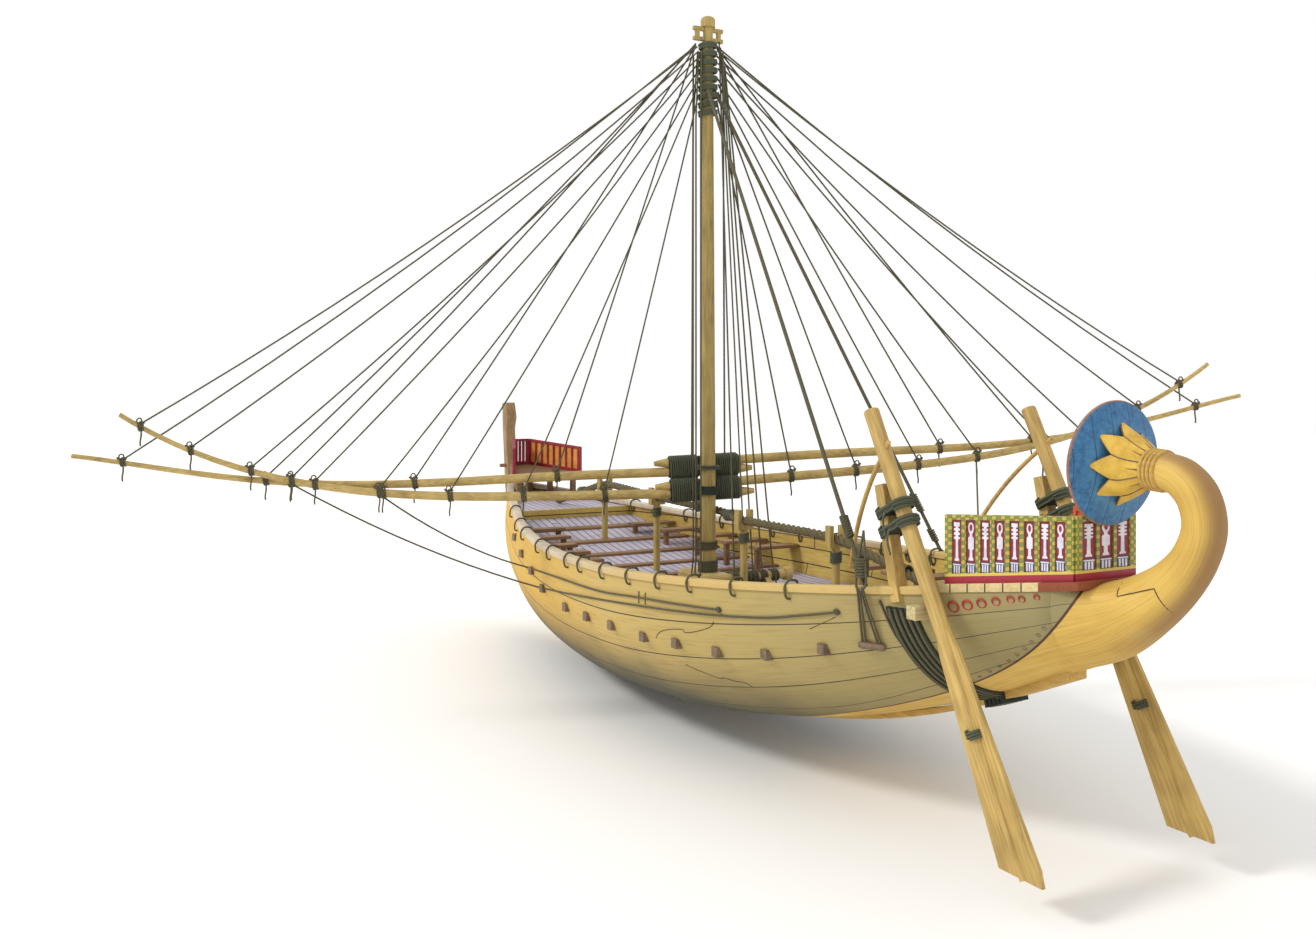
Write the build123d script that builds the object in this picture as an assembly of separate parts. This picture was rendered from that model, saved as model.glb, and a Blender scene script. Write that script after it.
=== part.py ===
from build123d import *
from math import atan2, cos, degrees, hypot, pi, radians, sin, tan
import os

os.makedirs("parts", exist_ok=True)

# Seagoing ship of the Egyptian New Kingdom, in millimetres.
# +X forward, +Y port, +Z up. Origin: waterline, centreline, mast axis.

# Hull lines: station, half-breadth at the sheer, height of the sheer,
# height of the bottom on the centreline.
hull_lines = [
    # x, half_breadth, sheer_z, bottom_z
    (-8700, 620, 2050, 1100),
    (-7200, 1280, 1860, 450),
    (-5000, 2180, 1650, -280),
    (-2500, 2780, 1500, -770),
    (0, 2800, 1450, -1050),
    (3000, 2310, 1510, -1200),
    (6000, 1400, 1680, -1080),
    (8200, 660, 1830, -500),
    (9100, 300, 1900, 380),
    (9600, 110, 1950, 1230),
]
bottom_half_width = 70
bilge_out = 0.735  # share of the half-breadth where the bilge arc passes
bilge_up = 0.265  # share of the section's depth there
bulwark_thickness = 110
cap_thickness = 60
cap_overhang = 35
cap_rebate = 40
bow_cap_end_x = 9250
stern_cap_end_x = -8550

# Decks
deck_mid_z = 650
deck_end_z = 1400
deck_fore_x = 5900
deck_aft_x = -6000
deck_thickness = 40
foredeck_z = 1580
foredeck_bow_z = 1740
aft_deck_stern_z = 1900
bulkhead_thickness = 60
beam_width = 150
beam_rise = 45
deck_beam_xs = [-5200, -4300, -3400, -2500, -1600, 1500, 2400, 3300, 4200, 5100]

# Keel plank
keel_width = 320
keel_depth = 90
keel_aft_x = -8500
keel_fore_x = 8900

# Stem post
stem_width = 240
stem_top_z = 3900
stem_fore_x = 10020
stem_head_length = 330
stem_head_height = 620
stem_head_slant = 130
peg_diameter = 90
peg_length = 560
peg_square = 62
peg_z = 2350

# Sternpost: centre line of the curl in the plane of symmetry
# Heading is 0 pointing aft, 90 pointing up and 180 pointing forward.
curl_stations = [
    # x, z, depth, breadth, heading
    (-8700, 1575, 930, 1130, 0),
    (-9120, 1745, 850, 860, 22),
    (-9480, 1950, 700, 640, 33),
    (-9830, 2220, 570, 500, 45),
    (-10080, 2520, 490, 440, 62),
    (-10205, 2860, 465, 420, 87),
    (-10140, 3170, 460, 420, 118),
    (-9950, 3365, 440, 410, 150),
    (-9740, 3430, 410, 400, 176),
]
neck_length = 210
neck_ring_count = 4
neck_core_diameter = 380
neck_ring_diameter = 470
petal_count = 8
petal_length = 420
petal_tip_diameter = 1040
petal_thickness = 36
petal_width = 290
calyx_tip_diameter = 300
disc_diameter = 1390
disc_thickness = 60
disc_dome = 130
disc_from_neck = 560

# Forecastle
castle_wall = 70
castle_floor_thickness = 70
window_margin = 80
fore_castle = [
    # x, half_breadth, floor_z, height
    (7370, 840, 2300, 600),
    (9040, 200, 2420, 620),
]
fore_castle_windows = 8
fore_castle_end_windows = 3
castle_bar = 55
castle_top_rail = 60
castle_bottom_rail = 70
panel_thickness = 30
fore_castle_leg = 110
fore_castle_beam = 120
fore_castle_beam_xs = [7480, 8250, 8900]

# Stern platform and castle
stern_platform_fore_x = -7360
stern_platform_half_breadth = 1230
stern_platform_aft_x = -9000
stern_platform_aft_half_breadth = 520
stern_platform_thickness = 100
stern_platform_rebate = 15
bracket_width = 90
bracket_depth = 420
stern_castle = [
    # x, half_breadth, height
    (-7480, 1080, 830),
    (-8900, 470, 730),
]
stern_castle_windows = 8
stern_castle_end_windows = 3
stern_castle_bottom_rail = 120

# Mast
mast_foot_diameter = 300
mast_head_diameter = 180
mast_top_z = 10760
truck_diameter = 260
truck_height = 190
masthead_bar_length = 600
masthead_bar_section = 70
masthead_bar_zs = [10540, 10720]
masthead_post_y = 220
ring_count = 9
ring_pitch = 150
ring_section = 90
ring_width = 400
ring_low_z = 9230
mast_step_length = 1300
mast_step_width = 520
mast_step_height = 330
belaying_x = -900
belaying_z = 1030
belaying_half_length = 1150
belaying_diameter = 160
belaying_knob_length = 130
belaying_knob_diameter = 230
knee_y = 620
knee_thickness = 110
knee_length = 420
stay_diameter = 60
stay_head_z = 9700
stay_feet = [
    # x, y: the port stay is set up beside the stanchion, the other by the waist
    (-6560, 1560),
    (-3100, -2690),
]

# Yards: both braced and canted together, forward of the mast. Each is two
# half-spars lapped one over the other, the starboard half above.
brace_angle = 18.5
cant_angle = 2.6
boom_forward = 255
yard_forward = 410
boom_z = 2480
yard_z = 2890
spar_root_radius = 85
spar_tip_radius = 38
lap_half_length = 910
butt_taper = 230
butt_radius = 45
seizing_length = 1300
seizing_thickness = 16
boom_stations = [
    # distance_from_mast, rise, share_of_taper
    (2500, 90, 0.05),
    (4500, 185, 0.2),
    (6500, 430, 0.45),
    (8300, 935, 0.75),
    (10000, 1835, 1.0),
]
yard_stations = [
    (2500, 20, 0.05),
    (4500, 15, 0.2),
    (6500, 75, 0.45),
    (8600, 340, 0.75),
    (10800, 770, 1.0),
]
mast_strap_height = 150
mast_strap_thickness = 45
parrel_gap = 14
parrel_height = 70
parrel_thickness = 45

# Hogging truss
truss_diameter = 155
truss_points = [
    # x, z
    # x, y, z: it passes the mast on the starboard side
    (6750, 0, 1720),
    (4290, 0, 2295),
    (1950, 0, 2200),
    (0, -245, 2100),
    (-1210, 0, 2060),
    (-3820, 0, 2060),
    (-6250, 0, 1590),
]
truss_bend_radius = 900
truss_post_xs = [4290, 1950, -1210, -3820]
truss_post_diameter = 130
fork_width = 300
fork_depth = 130
fork_height = 330
fork_below_rope = 150

# Girdle round the stern
girdle_x = -7190
girdle_z = 1050
girdle_top_z = 1640
girdle_rake = 15.6
girdle_strands = 5
girdle_strand = 50
girdle_pitch = 72

# Steering gear
oar_y = 1350
loom_top = (-6390, 4040)
blade_tip = (-9070, -1080)
loom_diameter = 200
loom_tip_diameter = 90
blade_length = 2900
blade_thickness = 50
blade_tip_width = 600
blade_shoulder_width = 330
blade_shoulder_slope = 260
blade_tip_slope = 300
tiller_diameter = 60
tiller_root_z = 3520
tiller_grip = (-5480, 980, 1900)
tiller_bow = 130
tiller_peg = 190
running_gap = 0.5
oar_beam_x = -7340
oar_beam_z = 1640
oar_beam_section = 160
oar_beam_half_length = 1500
stanchion_section = 160
stanchion_foot = (-6960, 1700)
stanchion_top = (-6640, 3120)
oar_seizing_thickness = 35
oar_seizing_height = 110
oar_seizing_zs = [2700, 2900]

# Benches and beam ends
bench_xs = [-4750, -3850, -2950, -2050, 1050, 1950, 2850, 3750, 4650]
bench_width = 300
bench_thickness = 60
bench_reach = 900
bench_below_sheer = 230
bench_leg = 90
beam_ends = [
    # x, below_sheer
    (-5880, 780),
    (-4960, 920),
    (-4080, 980),
    (-3280, 940),
    (-2500, 930),
    (-1600, 890),
    (-720, 880),
    (200, 870),
    (1400, 760),
    (2120, 560),
    (3080, 400),
    (4240, 300),
]
beam_end_section = 140
beam_end_out = 60
beam_end_tuck = 350  # how far a block's raw length starts inside the side, before the hull is cut away

air_above = 300  # the air inside the bulwarks is cut this far above the sheer
far = 30000


def station_plane(x):
    return Plane(origin=(x, 0, 0), x_dir=(0, 1, 0), z_dir=(1, 0, 0))


def side_plane(y):
    return Plane(origin=(0, y, 0), x_dir=(1, 0, 0), z_dir=(0, -1, 0))


def cut(body, *tools):
    for tool in tools:
        body = body - tool
    return body


def between(table, x, column):
    rows = sorted(table)
    for low, high in zip(rows, rows[1:]):
        if x <= high[0] or high is rows[-1]:
            share = (x - low[0]) / (high[0] - low[0])
            return low[column] + share * (high[column] - low[column])


def sheer_z(x):
    return between(hull_lines, x, 2)


def half_breadth(x):
    return between(hull_lines, x, 1)


def hull_section(x, half, top, bottom, grow=0.0):
    depth = top - bottom
    keel = bottom_half_width + grow
    low = bottom - grow
    bilge = ((half + grow) * bilge_out, bottom + depth * bilge_up - grow * 0.7)
    port = ThreePointArc((keel, low), bilge, (half + grow, top))
    starboard = ThreePointArc((-half - grow, top), (-bilge[0], bilge[1]), (-keel, low))
    wire = port + Line((half + grow, top), (-half - grow, top)) + starboard + Line((-keel, low), (keel, low))
    return station_plane(x) * make_face(wire)


def hull_loft(grow=0.0):
    return loft([hull_section(*row, grow) for row in hull_lines])


def inner_loft():
    # The air inside the bulwarks, from under the deck to above the sheer.
    rows = []
    for x, half, top, bottom in hull_lines:
        inside = half - bulwark_thickness
        if inside > 60:
            rows.append((x, inside, top, bottom))
    faces = []
    for x, inside, top, bottom in rows:
        depth = top - bottom
        low = bottom + bulwark_thickness
        keel = min(bottom_half_width, inside * 0.5)
        bilge = (inside * bilge_out, bottom + depth * bilge_up + bulwark_thickness * 0.7)
        port = ThreePointArc((keel, low), bilge, (inside, top))
        starboard = ThreePointArc((-inside, top), (-bilge[0], bilge[1]), (-keel, low))
        wire = (
            port
            + Polyline((inside, top), (inside, top + air_above), (-inside, top + air_above), (-inside, top))
            + starboard
            + Line((-keel, low), (keel, low))
        )
        faces.append(station_plane(x) * make_face(wire))
    return loft(faces)


def deck_region(raise_by=0.0):
    # Everything below the deck line, as wide as the ship and more.
    up = raise_by
    fore = deck_end_z + up
    line = (
        Line((-far, -far), (-far, aft_deck_stern_z + up))
        + Line((-far, aft_deck_stern_z + up), (-8700, aft_deck_stern_z + up))
        + Line((-8700, aft_deck_stern_z + up), (deck_aft_x, deck_end_z + up))
        + ThreePointArc((deck_aft_x, deck_end_z + up), (0, deck_mid_z + up), (deck_fore_x, fore))
        + Line((deck_fore_x, fore), (deck_fore_x, foredeck_z + up))
        + Line((deck_fore_x, foredeck_z + up), (9300, foredeck_bow_z + up))
        + Line((9300, foredeck_bow_z + up), (far, foredeck_bow_z + up))
        + Line((far, foredeck_bow_z + up), (far, -far))
        + Line((far, -far), (-far, -far))
    )
    face = side_plane(0) * make_face(line)
    return extrude(face, amount=4000, both=True)


def rod(start, end, radius, end_radius=None):
    a, b = Vector(*start), Vector(*end)
    axis = b - a
    plane = Plane(origin=a, z_dir=axis)
    tip = radius if end_radius is None else end_radius
    if abs(tip - radius) < 1e-6:
        return extrude(plane * Circle(radius), amount=axis.length)
    return loft([plane * Circle(radius), Plane(origin=b, z_dir=axis) * Circle(tip)])


def beam(low, high):
    size = [h - l for l, h in zip(low, high)]
    return Pos(*[(l + h) / 2 for l, h in zip(low, high)]) * Box(*size)


def mirror_port(shape):
    return mirror(shape, about=Plane.XZ)


def save(name, shape):
    solids = list(shape.solids())
    body = solids[0] if len(solids) == 1 else Compound(children=solids)
    export_step(body, f"parts/{name}.step")


# ---- Hull ----
outer = hull_loft()
inner = inner_loft()
below = deck_region()
below_top = deck_region(deck_thickness)
port_half = beam((-far, 0, -far), (far, far, far))
starboard_half = beam((-far, -far, -far), (far, 0, far))

hull_core = outer & below
shell = outer - inner - below
cap_span = beam((stern_cap_end_x, -far, -far), (bow_cap_end_x, far, far))
bulwark_port = shell & port_half & cap_span
bulwark_starboard = shell & starboard_half & cap_span
save("hull_core", hull_core)
save("bulwark_port", bulwark_port)
save("bulwark_starboard", bulwark_starboard)

deck_planks = (inner & below_top) - below
main_deck = deck_planks & beam((deck_aft_x, -far, -far), (deck_fore_x, far, far))
foredeck = deck_planks & beam((deck_fore_x, -far, -far), (far, far, far))
aft_deck = deck_planks & beam((-far, -far, -far), (deck_aft_x, far, far))
save("main_deck", main_deck)
save("foredeck", foredeck)
save("aft_deck", aft_deck)

bulkhead = beam(
    (deck_fore_x - bulkhead_thickness, -far, 0),
    (deck_fore_x, far, foredeck_z + deck_thickness),
)
save("fore_bulkhead", (bulkhead & inner) - below_top)

# Deck beams stand a little above the planks.
beam_strip = (inner & deck_region(deck_thickness + beam_rise)) - below_top
beams = [
    beam_strip & beam((x - beam_width / 2, -far, -far), (x + beam_width / 2, far, far))
    for x in deck_beam_xs
]
save("deck_beams", Compound(children=[b.solids()[0] for b in beams]))

# Gunwale caps, rebated over the top of the bulwarks.
cap_faces = []
for x, half, top, bottom in hull_lines:
    low, high = half - bulwark_thickness - cap_overhang, half + cap_overhang
    outline = Polyline(
        (low, top - cap_rebate),
        (high, top - cap_rebate),
        (high, top + cap_thickness),
        (low, top + cap_thickness),
        close=True,
    )
    cap_faces.append(station_plane(x) * make_face(outline))
cap_reach = beam((stern_platform_fore_x + 10, 0, -far), (bow_cap_end_x, far, far))
cap_port = (loft(cap_faces) & cap_reach) - bulwark_port - hull_core
cap_port = max(cap_port.solids(), key=lambda solid: solid.volume)
cap_starboard = mirror_port(cap_port)
save("gunwale_cap_port", cap_port)
save("gunwale_cap_starboard", cap_starboard)

# Keel plank under the hull.


def keel_loft(grow=0.0):
    faces = []
    for x, half, top, bottom in hull_lines:
        if keel_aft_x - 400 <= x <= keel_fore_x + 400:
            wide, low = keel_width / 2 + grow, bottom - keel_depth - grow
            outline = Polyline(
                (-wide, low), (wide, low), (wide, bottom + keel_width / 2), (-wide, bottom + keel_width / 2), close=True
            )
            faces.append(station_plane(x) * make_face(outline))
    return loft(faces)


keel = (keel_loft() & beam((keel_aft_x, -far, -far), (keel_fore_x, far, far))) - outer
keel = max(keel.solids(), key=lambda solid: solid.volume)
save("keel_plank", keel)

# Ends of the through-beams, outside the planking.
ends = []
for x, below_sheer in beam_ends:
    z = sheer_z(x) - below_sheer
    side_y = (Line((x, 0, z), (x, far, z)) & outer).bounding_box().max.Y
    block = beam(
        (x - beam_end_section / 2, side_y - beam_end_tuck, z - beam_end_section / 2),
        (x + beam_end_section / 2, side_y + beam_end_out, z + beam_end_section / 2),
    )
    ends.append(max((block - outer).solids(), key=lambda solid: solid.volume))
save("beam_ends_port", Compound(children=ends))
save("beam_ends_starboard", Compound(children=[mirror_port(end) for end in ends]))

# ---- Stem ----
stem_line = Polyline(
    (9480, 900),
    (9780, 1500),
    (stem_fore_x - 150, 1900),
    (stem_fore_x, stem_top_z - stem_head_height),
    (stem_fore_x + 30, stem_top_z),
    (stem_fore_x + 30 - stem_head_length + 90, stem_top_z + 20),
    (stem_fore_x + 30 - stem_head_length - stem_head_slant + 90, stem_top_z - stem_head_height * 0.55),
    (stem_fore_x - 230, stem_top_z - stem_head_height),
    (stem_fore_x - 380, 2100),
    (9300, 1900),
    (9300, 1000),
    close=True,
)
stem = extrude(side_plane(0) * make_face(stem_line), amount=stem_width / 2, both=True)
stem = stem - outer - cap_port - cap_starboard
stem = max(stem.solids(), key=lambda solid: solid.volume)
# The peg is round outside and squared where it passes through the stem, so a rope can't turn it.
peg_ends = Cylinder(peg_diameter / 2, peg_length) - Cylinder(peg_diameter, stem_width + 2)
peg = Pos(stem_fore_x - 230, 0, peg_z) * Rot(90, 0, 0) * (peg_ends + Box(peg_square, peg_square, stem_width + 2))
save("stem_post", stem - peg)
save("stem_peg", peg)

# ---- Sternpost and lotus ----
post_faces = []
for x, z, depth, breadth, heading in curl_stations:
    normal = (-cos(radians(heading)), 0, sin(radians(heading)))
    section = Plane(origin=(x, 0, z), x_dir=(0, 1, 0), z_dir=normal)
    post_faces.append(section * Ellipse(breadth / 2, depth / 2))
sternpost = loft(post_faces)
save("sternpost", sternpost)

last = curl_stations[-1]
neck_normal = (-cos(radians(last[4])), 0, sin(radians(last[4])))
neck_place = Plane(origin=(last[0], 0, last[1]), x_dir=(0, 1, 0), z_dir=neck_normal).location
ring_step = neck_length / neck_ring_count
neck_profile = Line((0, 0), (neck_core_diameter / 2, 0))
for index in range(neck_ring_count):
    low, high = index * ring_step, (index + 1) * ring_step
    neck_profile += ThreePointArc(
        (neck_core_diameter / 2, low),
        (neck_ring_diameter / 2, (low + high) / 2),
        (neck_core_diameter / 2, high),
    )
neck_profile += Line((neck_core_diameter / 2, neck_length), (0, neck_length))
neck_profile += Line((0, neck_length), (0, 0))
neck = revolve(Plane.XZ * make_face(neck_profile), axis=Axis.Z)
save("neck_rings", neck_place * neck)

disc_radius = disc_diameter / 2
dome_radius = (disc_radius**2 + disc_dome**2) / (2 * disc_dome)
dome_half_z = dome_radius - (dome_radius**2 - (disc_radius / 2) ** 2) ** 0.5
disc_profile = (
    Line((0, disc_from_neck + disc_dome + disc_thickness), (disc_radius, disc_from_neck + disc_dome + disc_thickness))
    + Line(
        (disc_radius, disc_from_neck + disc_dome + disc_thickness),
        (disc_radius, disc_from_neck + disc_dome),
    )
    + ThreePointArc(
        (disc_radius, disc_from_neck + disc_dome),
        (disc_radius / 2, disc_from_neck + dome_half_z),
        (0, disc_from_neck),
    )
    + Line((0, disc_from_neck), (0, disc_from_neck + disc_dome + disc_thickness))
)
disc = revolve(Plane.XZ * make_face(disc_profile), axis=Axis.Z)
save("lotus_disc", neck_place * disc)

# Petals: a flared shell of revolution, cut to leaf outlines round a calyx.
flare_in = [(160, 0), (petal_tip_diameter * 0.33, petal_length * 0.55), (petal_tip_diameter / 2, petal_length)]
flare_out = [(r, z - petal_thickness) for r, z in flare_in]
flare = (
    ThreePointArc(*flare_in)
    + Line(flare_in[2], flare_out[2])
    + ThreePointArc(*reversed(flare_out))
    + Line(flare_out[0], flare_in[0])
)
flare = Pos(0, 0, neck_length + petal_thickness) * revolve(Plane.XZ * make_face(flare), axis=Axis.Z)
leaf = make_face(
    Line((-70, neck_length - 10), (70, neck_length - 10))
    + ThreePointArc(
        (70, neck_length - 10),
        (petal_width / 2, neck_length + petal_length * 0.5),
        (0, neck_length + petal_length + petal_thickness),
    )
    + ThreePointArc(
        (0, neck_length + petal_length + petal_thickness),
        (-petal_width / 2, neck_length + petal_length * 0.5),
        (-70, neck_length - 10),
    )
)
leaf_prism = extrude(Plane.XZ * leaf, amount=petal_tip_diameter)
calyx = rod((0, 0, neck_length), (0, 0, disc_from_neck + disc_dome), neck_core_diameter / 2, calyx_tip_diameter / 2)
petals = calyx - disc
petal = flare & leaf_prism
for index in range(petal_count):
    petals = petals + Rot(0, 0, index * 360 / petal_count) * petal
save("lotus_petals", neck_place * (petals - disc))

# ---- Castles ----
def wall(start, end, low, high, bottom_rail, windows, filled=True):
    # A framed wall between two plan points, with its windows and their panels.
    run = Vector(end[0] - start[0], end[1] - start[1], 0)
    length = run.length
    plane = Plane(origin=(start[0], start[1], 0), x_dir=run, z_dir=run.cross(Vector(0, 0, 1)))

    def at(u, column):
        share = u / length
        return low[column] + share * (high[column] - low[column])

    outline = Polyline(
        (0, at(0, 0)), (length, at(length, 0)), (length, at(length, 1)), (0, at(0, 1)), close=True
    )
    body = extrude(plane * make_face(outline), amount=castle_wall / 2, both=True)
    first = castle_wall / 2 + castle_bar
    pitch = (length - 2 * first + castle_bar) / windows
    panels = []
    for index in range(windows):
        left = first + index * pitch
        right = left + pitch - castle_bar
        hole = make_face(
            Polyline(
                (left, at(left, 0) + bottom_rail),
                (right, at(right, 0) + bottom_rail),
                (right, at(right, 1) - castle_top_rail),
                (left, at(left, 1) - castle_top_rail),
                close=True,
            )
        )
        body = body - extrude(plane * hole, amount=castle_wall, both=True)
        if filled:
            panels.append(extrude(plane * hole, amount=panel_thickness / 2, both=True))
    return body, panels


def floor_between(plan, line, thickness):
    # A floor whose top follows the line, cut to a plan that is symmetric about the keel.
    (x0, y0), (x1, y1) = plan
    (_, z0), (_, z1) = line
    strip = make_face(
        Polyline((x0, z0), (x1, z1), (x1, z1 - thickness), (x0, z0 - thickness), close=True)
    )
    outline = make_face(Polyline((x0, -y0), (x0, y0), (x1, y1), (x1, -y1), close=True))
    slab = extrude(side_plane(0) * strip, amount=3000, both=True)
    return slab & extrude(outline, amount=5000)


# Forecastle: floor on three cross-bearers and six legs, side walls and an open fore end.
(fx0, fy0, fz0, fh0), (fx1, fy1, fz1, fh1) = fore_castle
fore_out = castle_wall / 2 + 40
fore_floor = floor_between(
    ((fx0 - 60, fy0 + fore_out), (fx1 + 60, fy1 + fore_out)), ((fx0, fz0), (fx1, fz1)), castle_floor_thickness
)
save("forecastle_floor", fore_floor)


def fore_floor_z(x):
    return fz0 + (fz1 - fz0) * (x - fx0 + 60) / (fx1 - fx0 + 120)


fore_low, fore_high = (fz0, fz0 + fh0), (fz1, fz1 + fh1)
frame, fore_panels = wall((fx0, fy0), (fx1, fy1), fore_low, fore_high, castle_bottom_rail, fore_castle_windows)
frame_fore, _ = wall(
    (fx1, -fy1), (fx1, fy1), fore_high, fore_high, castle_bottom_rail, fore_castle_end_windows, filled=False
)
fore_frame = frame + mirror_port(frame) + frame_fore
fore_frame = fore_frame - fore_floor
save("forecastle_frame", max(fore_frame.solids(), key=lambda solid: solid.volume))
save(
    "forecastle_panels",
    Compound(children=[p - fore_floor for p in fore_panels] + [mirror_port(p - fore_floor) for p in fore_panels]),
)
bearers = None
for x in fore_castle_beam_xs:
    half = fy0 + (fy1 - fy0) * (x - fx0) / (fx1 - fx0) + fore_out
    leg_y = max(0, min(half - fore_castle_leg, half_breadth(x) - bulwark_thickness - fore_castle_leg))
    top = fore_floor_z(x) - castle_floor_thickness + 30
    bearer = beam((x - fore_castle_beam / 2, -half, top - fore_castle_beam), (x + fore_castle_beam / 2, half, top))
    for side in (-1, 1):
        leg = beam(
            (x - fore_castle_leg / 2, side * leg_y - fore_castle_leg / 2, 1500),
            (x + fore_castle_leg / 2, side * leg_y + fore_castle_leg / 2, top - fore_castle_beam / 2),
        )
        bearer = bearer + leg
    bearer = cut(bearer, below_top, fore_floor, bulwark_port, bulwark_starboard, cap_port, cap_starboard)
    bearers = [bearer] if bearers is None else bearers + [bearer]
save("forecastle_bearers", Compound(children=[max(b.solids(), key=lambda q: q.volume) for b in bearers]))

# Stern platform over the after hull, and the castle on it.
px0, py0 = stern_platform_fore_x, stern_platform_half_breadth
px1, py1 = stern_platform_aft_x, stern_platform_aft_half_breadth
platform_top = [
    sheer_z(x) - stern_platform_rebate + stern_platform_thickness for x in (px0, px1)
]
platform = floor_between(((px0, py0), (px1, py1)), ((px0, platform_top[0]), (px1, platform_top[1])), stern_platform_thickness)
platform = cut(platform, outer, sternpost, cap_port, cap_starboard)
platform = max(platform.solids(), key=lambda solid: solid.volume)
save("stern_platform", platform)


def platform_z(x):
    return platform_top[0] + (platform_top[1] - platform_top[0]) * (x - px0) / (px1 - px0)


(sx0, sy0, sh0), (sx1, sy1, sh1) = stern_castle
stern_low = (platform_z(sx0), platform_z(sx0) + sh0)
stern_high = (platform_z(sx1), platform_z(sx1) + sh1)
side, side_panels = wall((sx0, sy0), (sx1, sy1), stern_low, stern_high, stern_castle_bottom_rail, stern_castle_windows)
end, end_panels = wall((sx1, sy1), (sx1, -sy1), stern_high, stern_high, stern_castle_bottom_rail, stern_castle_end_windows)
stern_frame = (side + mirror_port(side) + end) - platform - sternpost
save("stern_castle_frame", max(stern_frame.solids(), key=lambda solid: solid.volume))
save("stern_castle_panels", Compound(children=side_panels + [mirror_port(p) for p in side_panels] + end_panels))

bracket = beam((px0 - bracket_width, 0, platform_z(px0) - bracket_depth), (px0, py0, platform_z(px0)))
bracket = bracket - outer - platform - cap_port
bracket = max(bracket.solids(), key=lambda solid: solid.volume)
save("stern_brackets", Compound(children=[bracket, mirror_port(bracket)]))

# ---- Mast and its fittings ----
deck_top = deck_mid_z + deck_thickness
mast = rod((0, 0, deck_mid_z), (0, 0, mast_top_z), mast_foot_diameter / 2, mast_head_diameter / 2) - below_top


def mast_radius(z):
    share = (z - deck_mid_z) / (mast_top_z - deck_mid_z)
    return (mast_foot_diameter + share * (mast_head_diameter - mast_foot_diameter)) / 2


save("mast", mast)
truck = Pos(0, 0, mast_top_z + truck_height / 2) * Cylinder(truck_diameter / 2, truck_height)
truck = fillet(truck.edges().group_by(Axis.Z)[-1], radius=truck_height * 0.4)
save("mast_truck", truck)

head_frame = None
for z in masthead_bar_zs:
    bar = beam(
        (-masthead_bar_section / 2, -masthead_bar_length / 2, z - masthead_bar_section / 2),
        (masthead_bar_section / 2, masthead_bar_length / 2, z + masthead_bar_section / 2),
    )
    head_frame = bar if head_frame is None else head_frame + bar
for y in (-masthead_post_y, masthead_post_y):
    head_frame = head_frame + beam(
        (-masthead_bar_section / 2, y - masthead_bar_section / 2, masthead_bar_zs[0]),
        (masthead_bar_section / 2, y + masthead_bar_section / 2, masthead_bar_zs[1]),
    )
save("masthead_frame", head_frame - mast)

rings = []
for index in range(ring_count):
    z = ring_low_z + index * ring_pitch
    ring = Pos(0, 0, z) * Cylinder(ring_width / 2, ring_section)
    ring = fillet(ring.edges(), radius=ring_section * 0.45)
    rings.append((ring - mast).solids()[0])
save("masthead_rings", Compound(children=rings))

step = beam(
    (-mast_step_length / 2, -mast_step_width / 2, 0),
    (mast_step_length / 2, mast_step_width / 2, deck_top + mast_step_height),
)
step = chamfer(step.edges().group_by(Axis.Z)[-1], length=60)
save("mast_step", step - below_top - mast)

log = rod(
    (belaying_x, -belaying_half_length, belaying_z), (belaying_x, belaying_half_length, belaying_z), belaying_diameter / 2
)
for side in (-1, 1):
    log = log + rod(
        (belaying_x, side * (belaying_half_length - belaying_knob_length), belaying_z),
        (belaying_x, side * belaying_half_length, belaying_z),
        belaying_knob_diameter / 2,
    )
knees = []
for y in (-knee_y, knee_y):
    knee = beam(
        (belaying_x - knee_length / 2, y - knee_thickness / 2, 0),
        (belaying_x + knee_length / 2, y + knee_thickness / 2, belaying_z),
    )
    knee = chamfer(knee.edges().filter_by(Axis.Y).group_by(Axis.Z)[-1], length=knee_length * 0.3)
    knees.append(((knee - below_top) - log).solids()[0])
save("belaying_beam", log)
save("belaying_knees", Compound(children=knees))

# Backstays, set up to the gunwale caps.
stays = []
for x, y in stay_feet:
    top = (-mast_radius(stay_head_z) * 0.6, mast_radius(stay_head_z) * (0.6 if y > 0 else -0.6), stay_head_z)
    stay = rod(top, (x, y, sheer_z(x) + cap_thickness - 40), stay_diameter / 2)
    stay = cut(stay, mast, cap_port, cap_starboard, outer, *rings)
    stays.append(max(stay.solids(), key=lambda solid: solid.volume))
save("backstays", Compound(children=stays))

# ---- Yards ----
brace, cant = radians(brace_angle), radians(cant_angle)
along = Vector(sin(brace), cos(brace), -tan(cant))
forward = Vector(cos(brace), -sin(brace), 0)


def yard_point(base_z, ahead, distance, rise, lap):
    return forward * ahead + Vector(0, 0, base_z + rise + lap) + along * distance


def half_spar(base_z, ahead, stations, side):
    # side is 1 for the port half, which lies below in the lap, -1 for the starboard half.
    lap = -side * spar_root_radius
    rows = [
        (-lap_half_length, 0, butt_radius),
        (-lap_half_length + butt_taper, 0, spar_root_radius),
    ]
    for distance, rise, taper in stations:
        rows.append((distance, rise, spar_root_radius + taper * (spar_tip_radius - spar_root_radius)))
    last_row = stations[-1][0]
    points = [
        yard_point(base_z, ahead, side * distance, rise, lap * max(0, 1 - max(0, distance) / last_row))
        for distance, rise, _ in rows
    ]
    faces = []
    for index, point in enumerate(points):
        before, after = points[max(0, index - 1)], points[min(len(points) - 1, index + 1)]
        if index == 1:
            before = point - (after - point)
        if index == 0:
            before, after = point, point + along * side
        faces.append(Plane(origin=point, x_dir=forward, z_dir=after - before) * Circle(rows[index][2]))
    butt = loft(faces[:2], ruled=True)
    return butt + loft(faces[1:])


def obround(width, lap, amount, place):
    outline = Polyline((-width, -lap), (width, -lap), (width, lap), (-width, lap), close=True)
    face = make_face(outline) + Pos(0, lap) * Circle(width) + Pos(0, -lap) * Circle(width)
    return extrude(place * face, amount=amount / 2, both=True)


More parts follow.
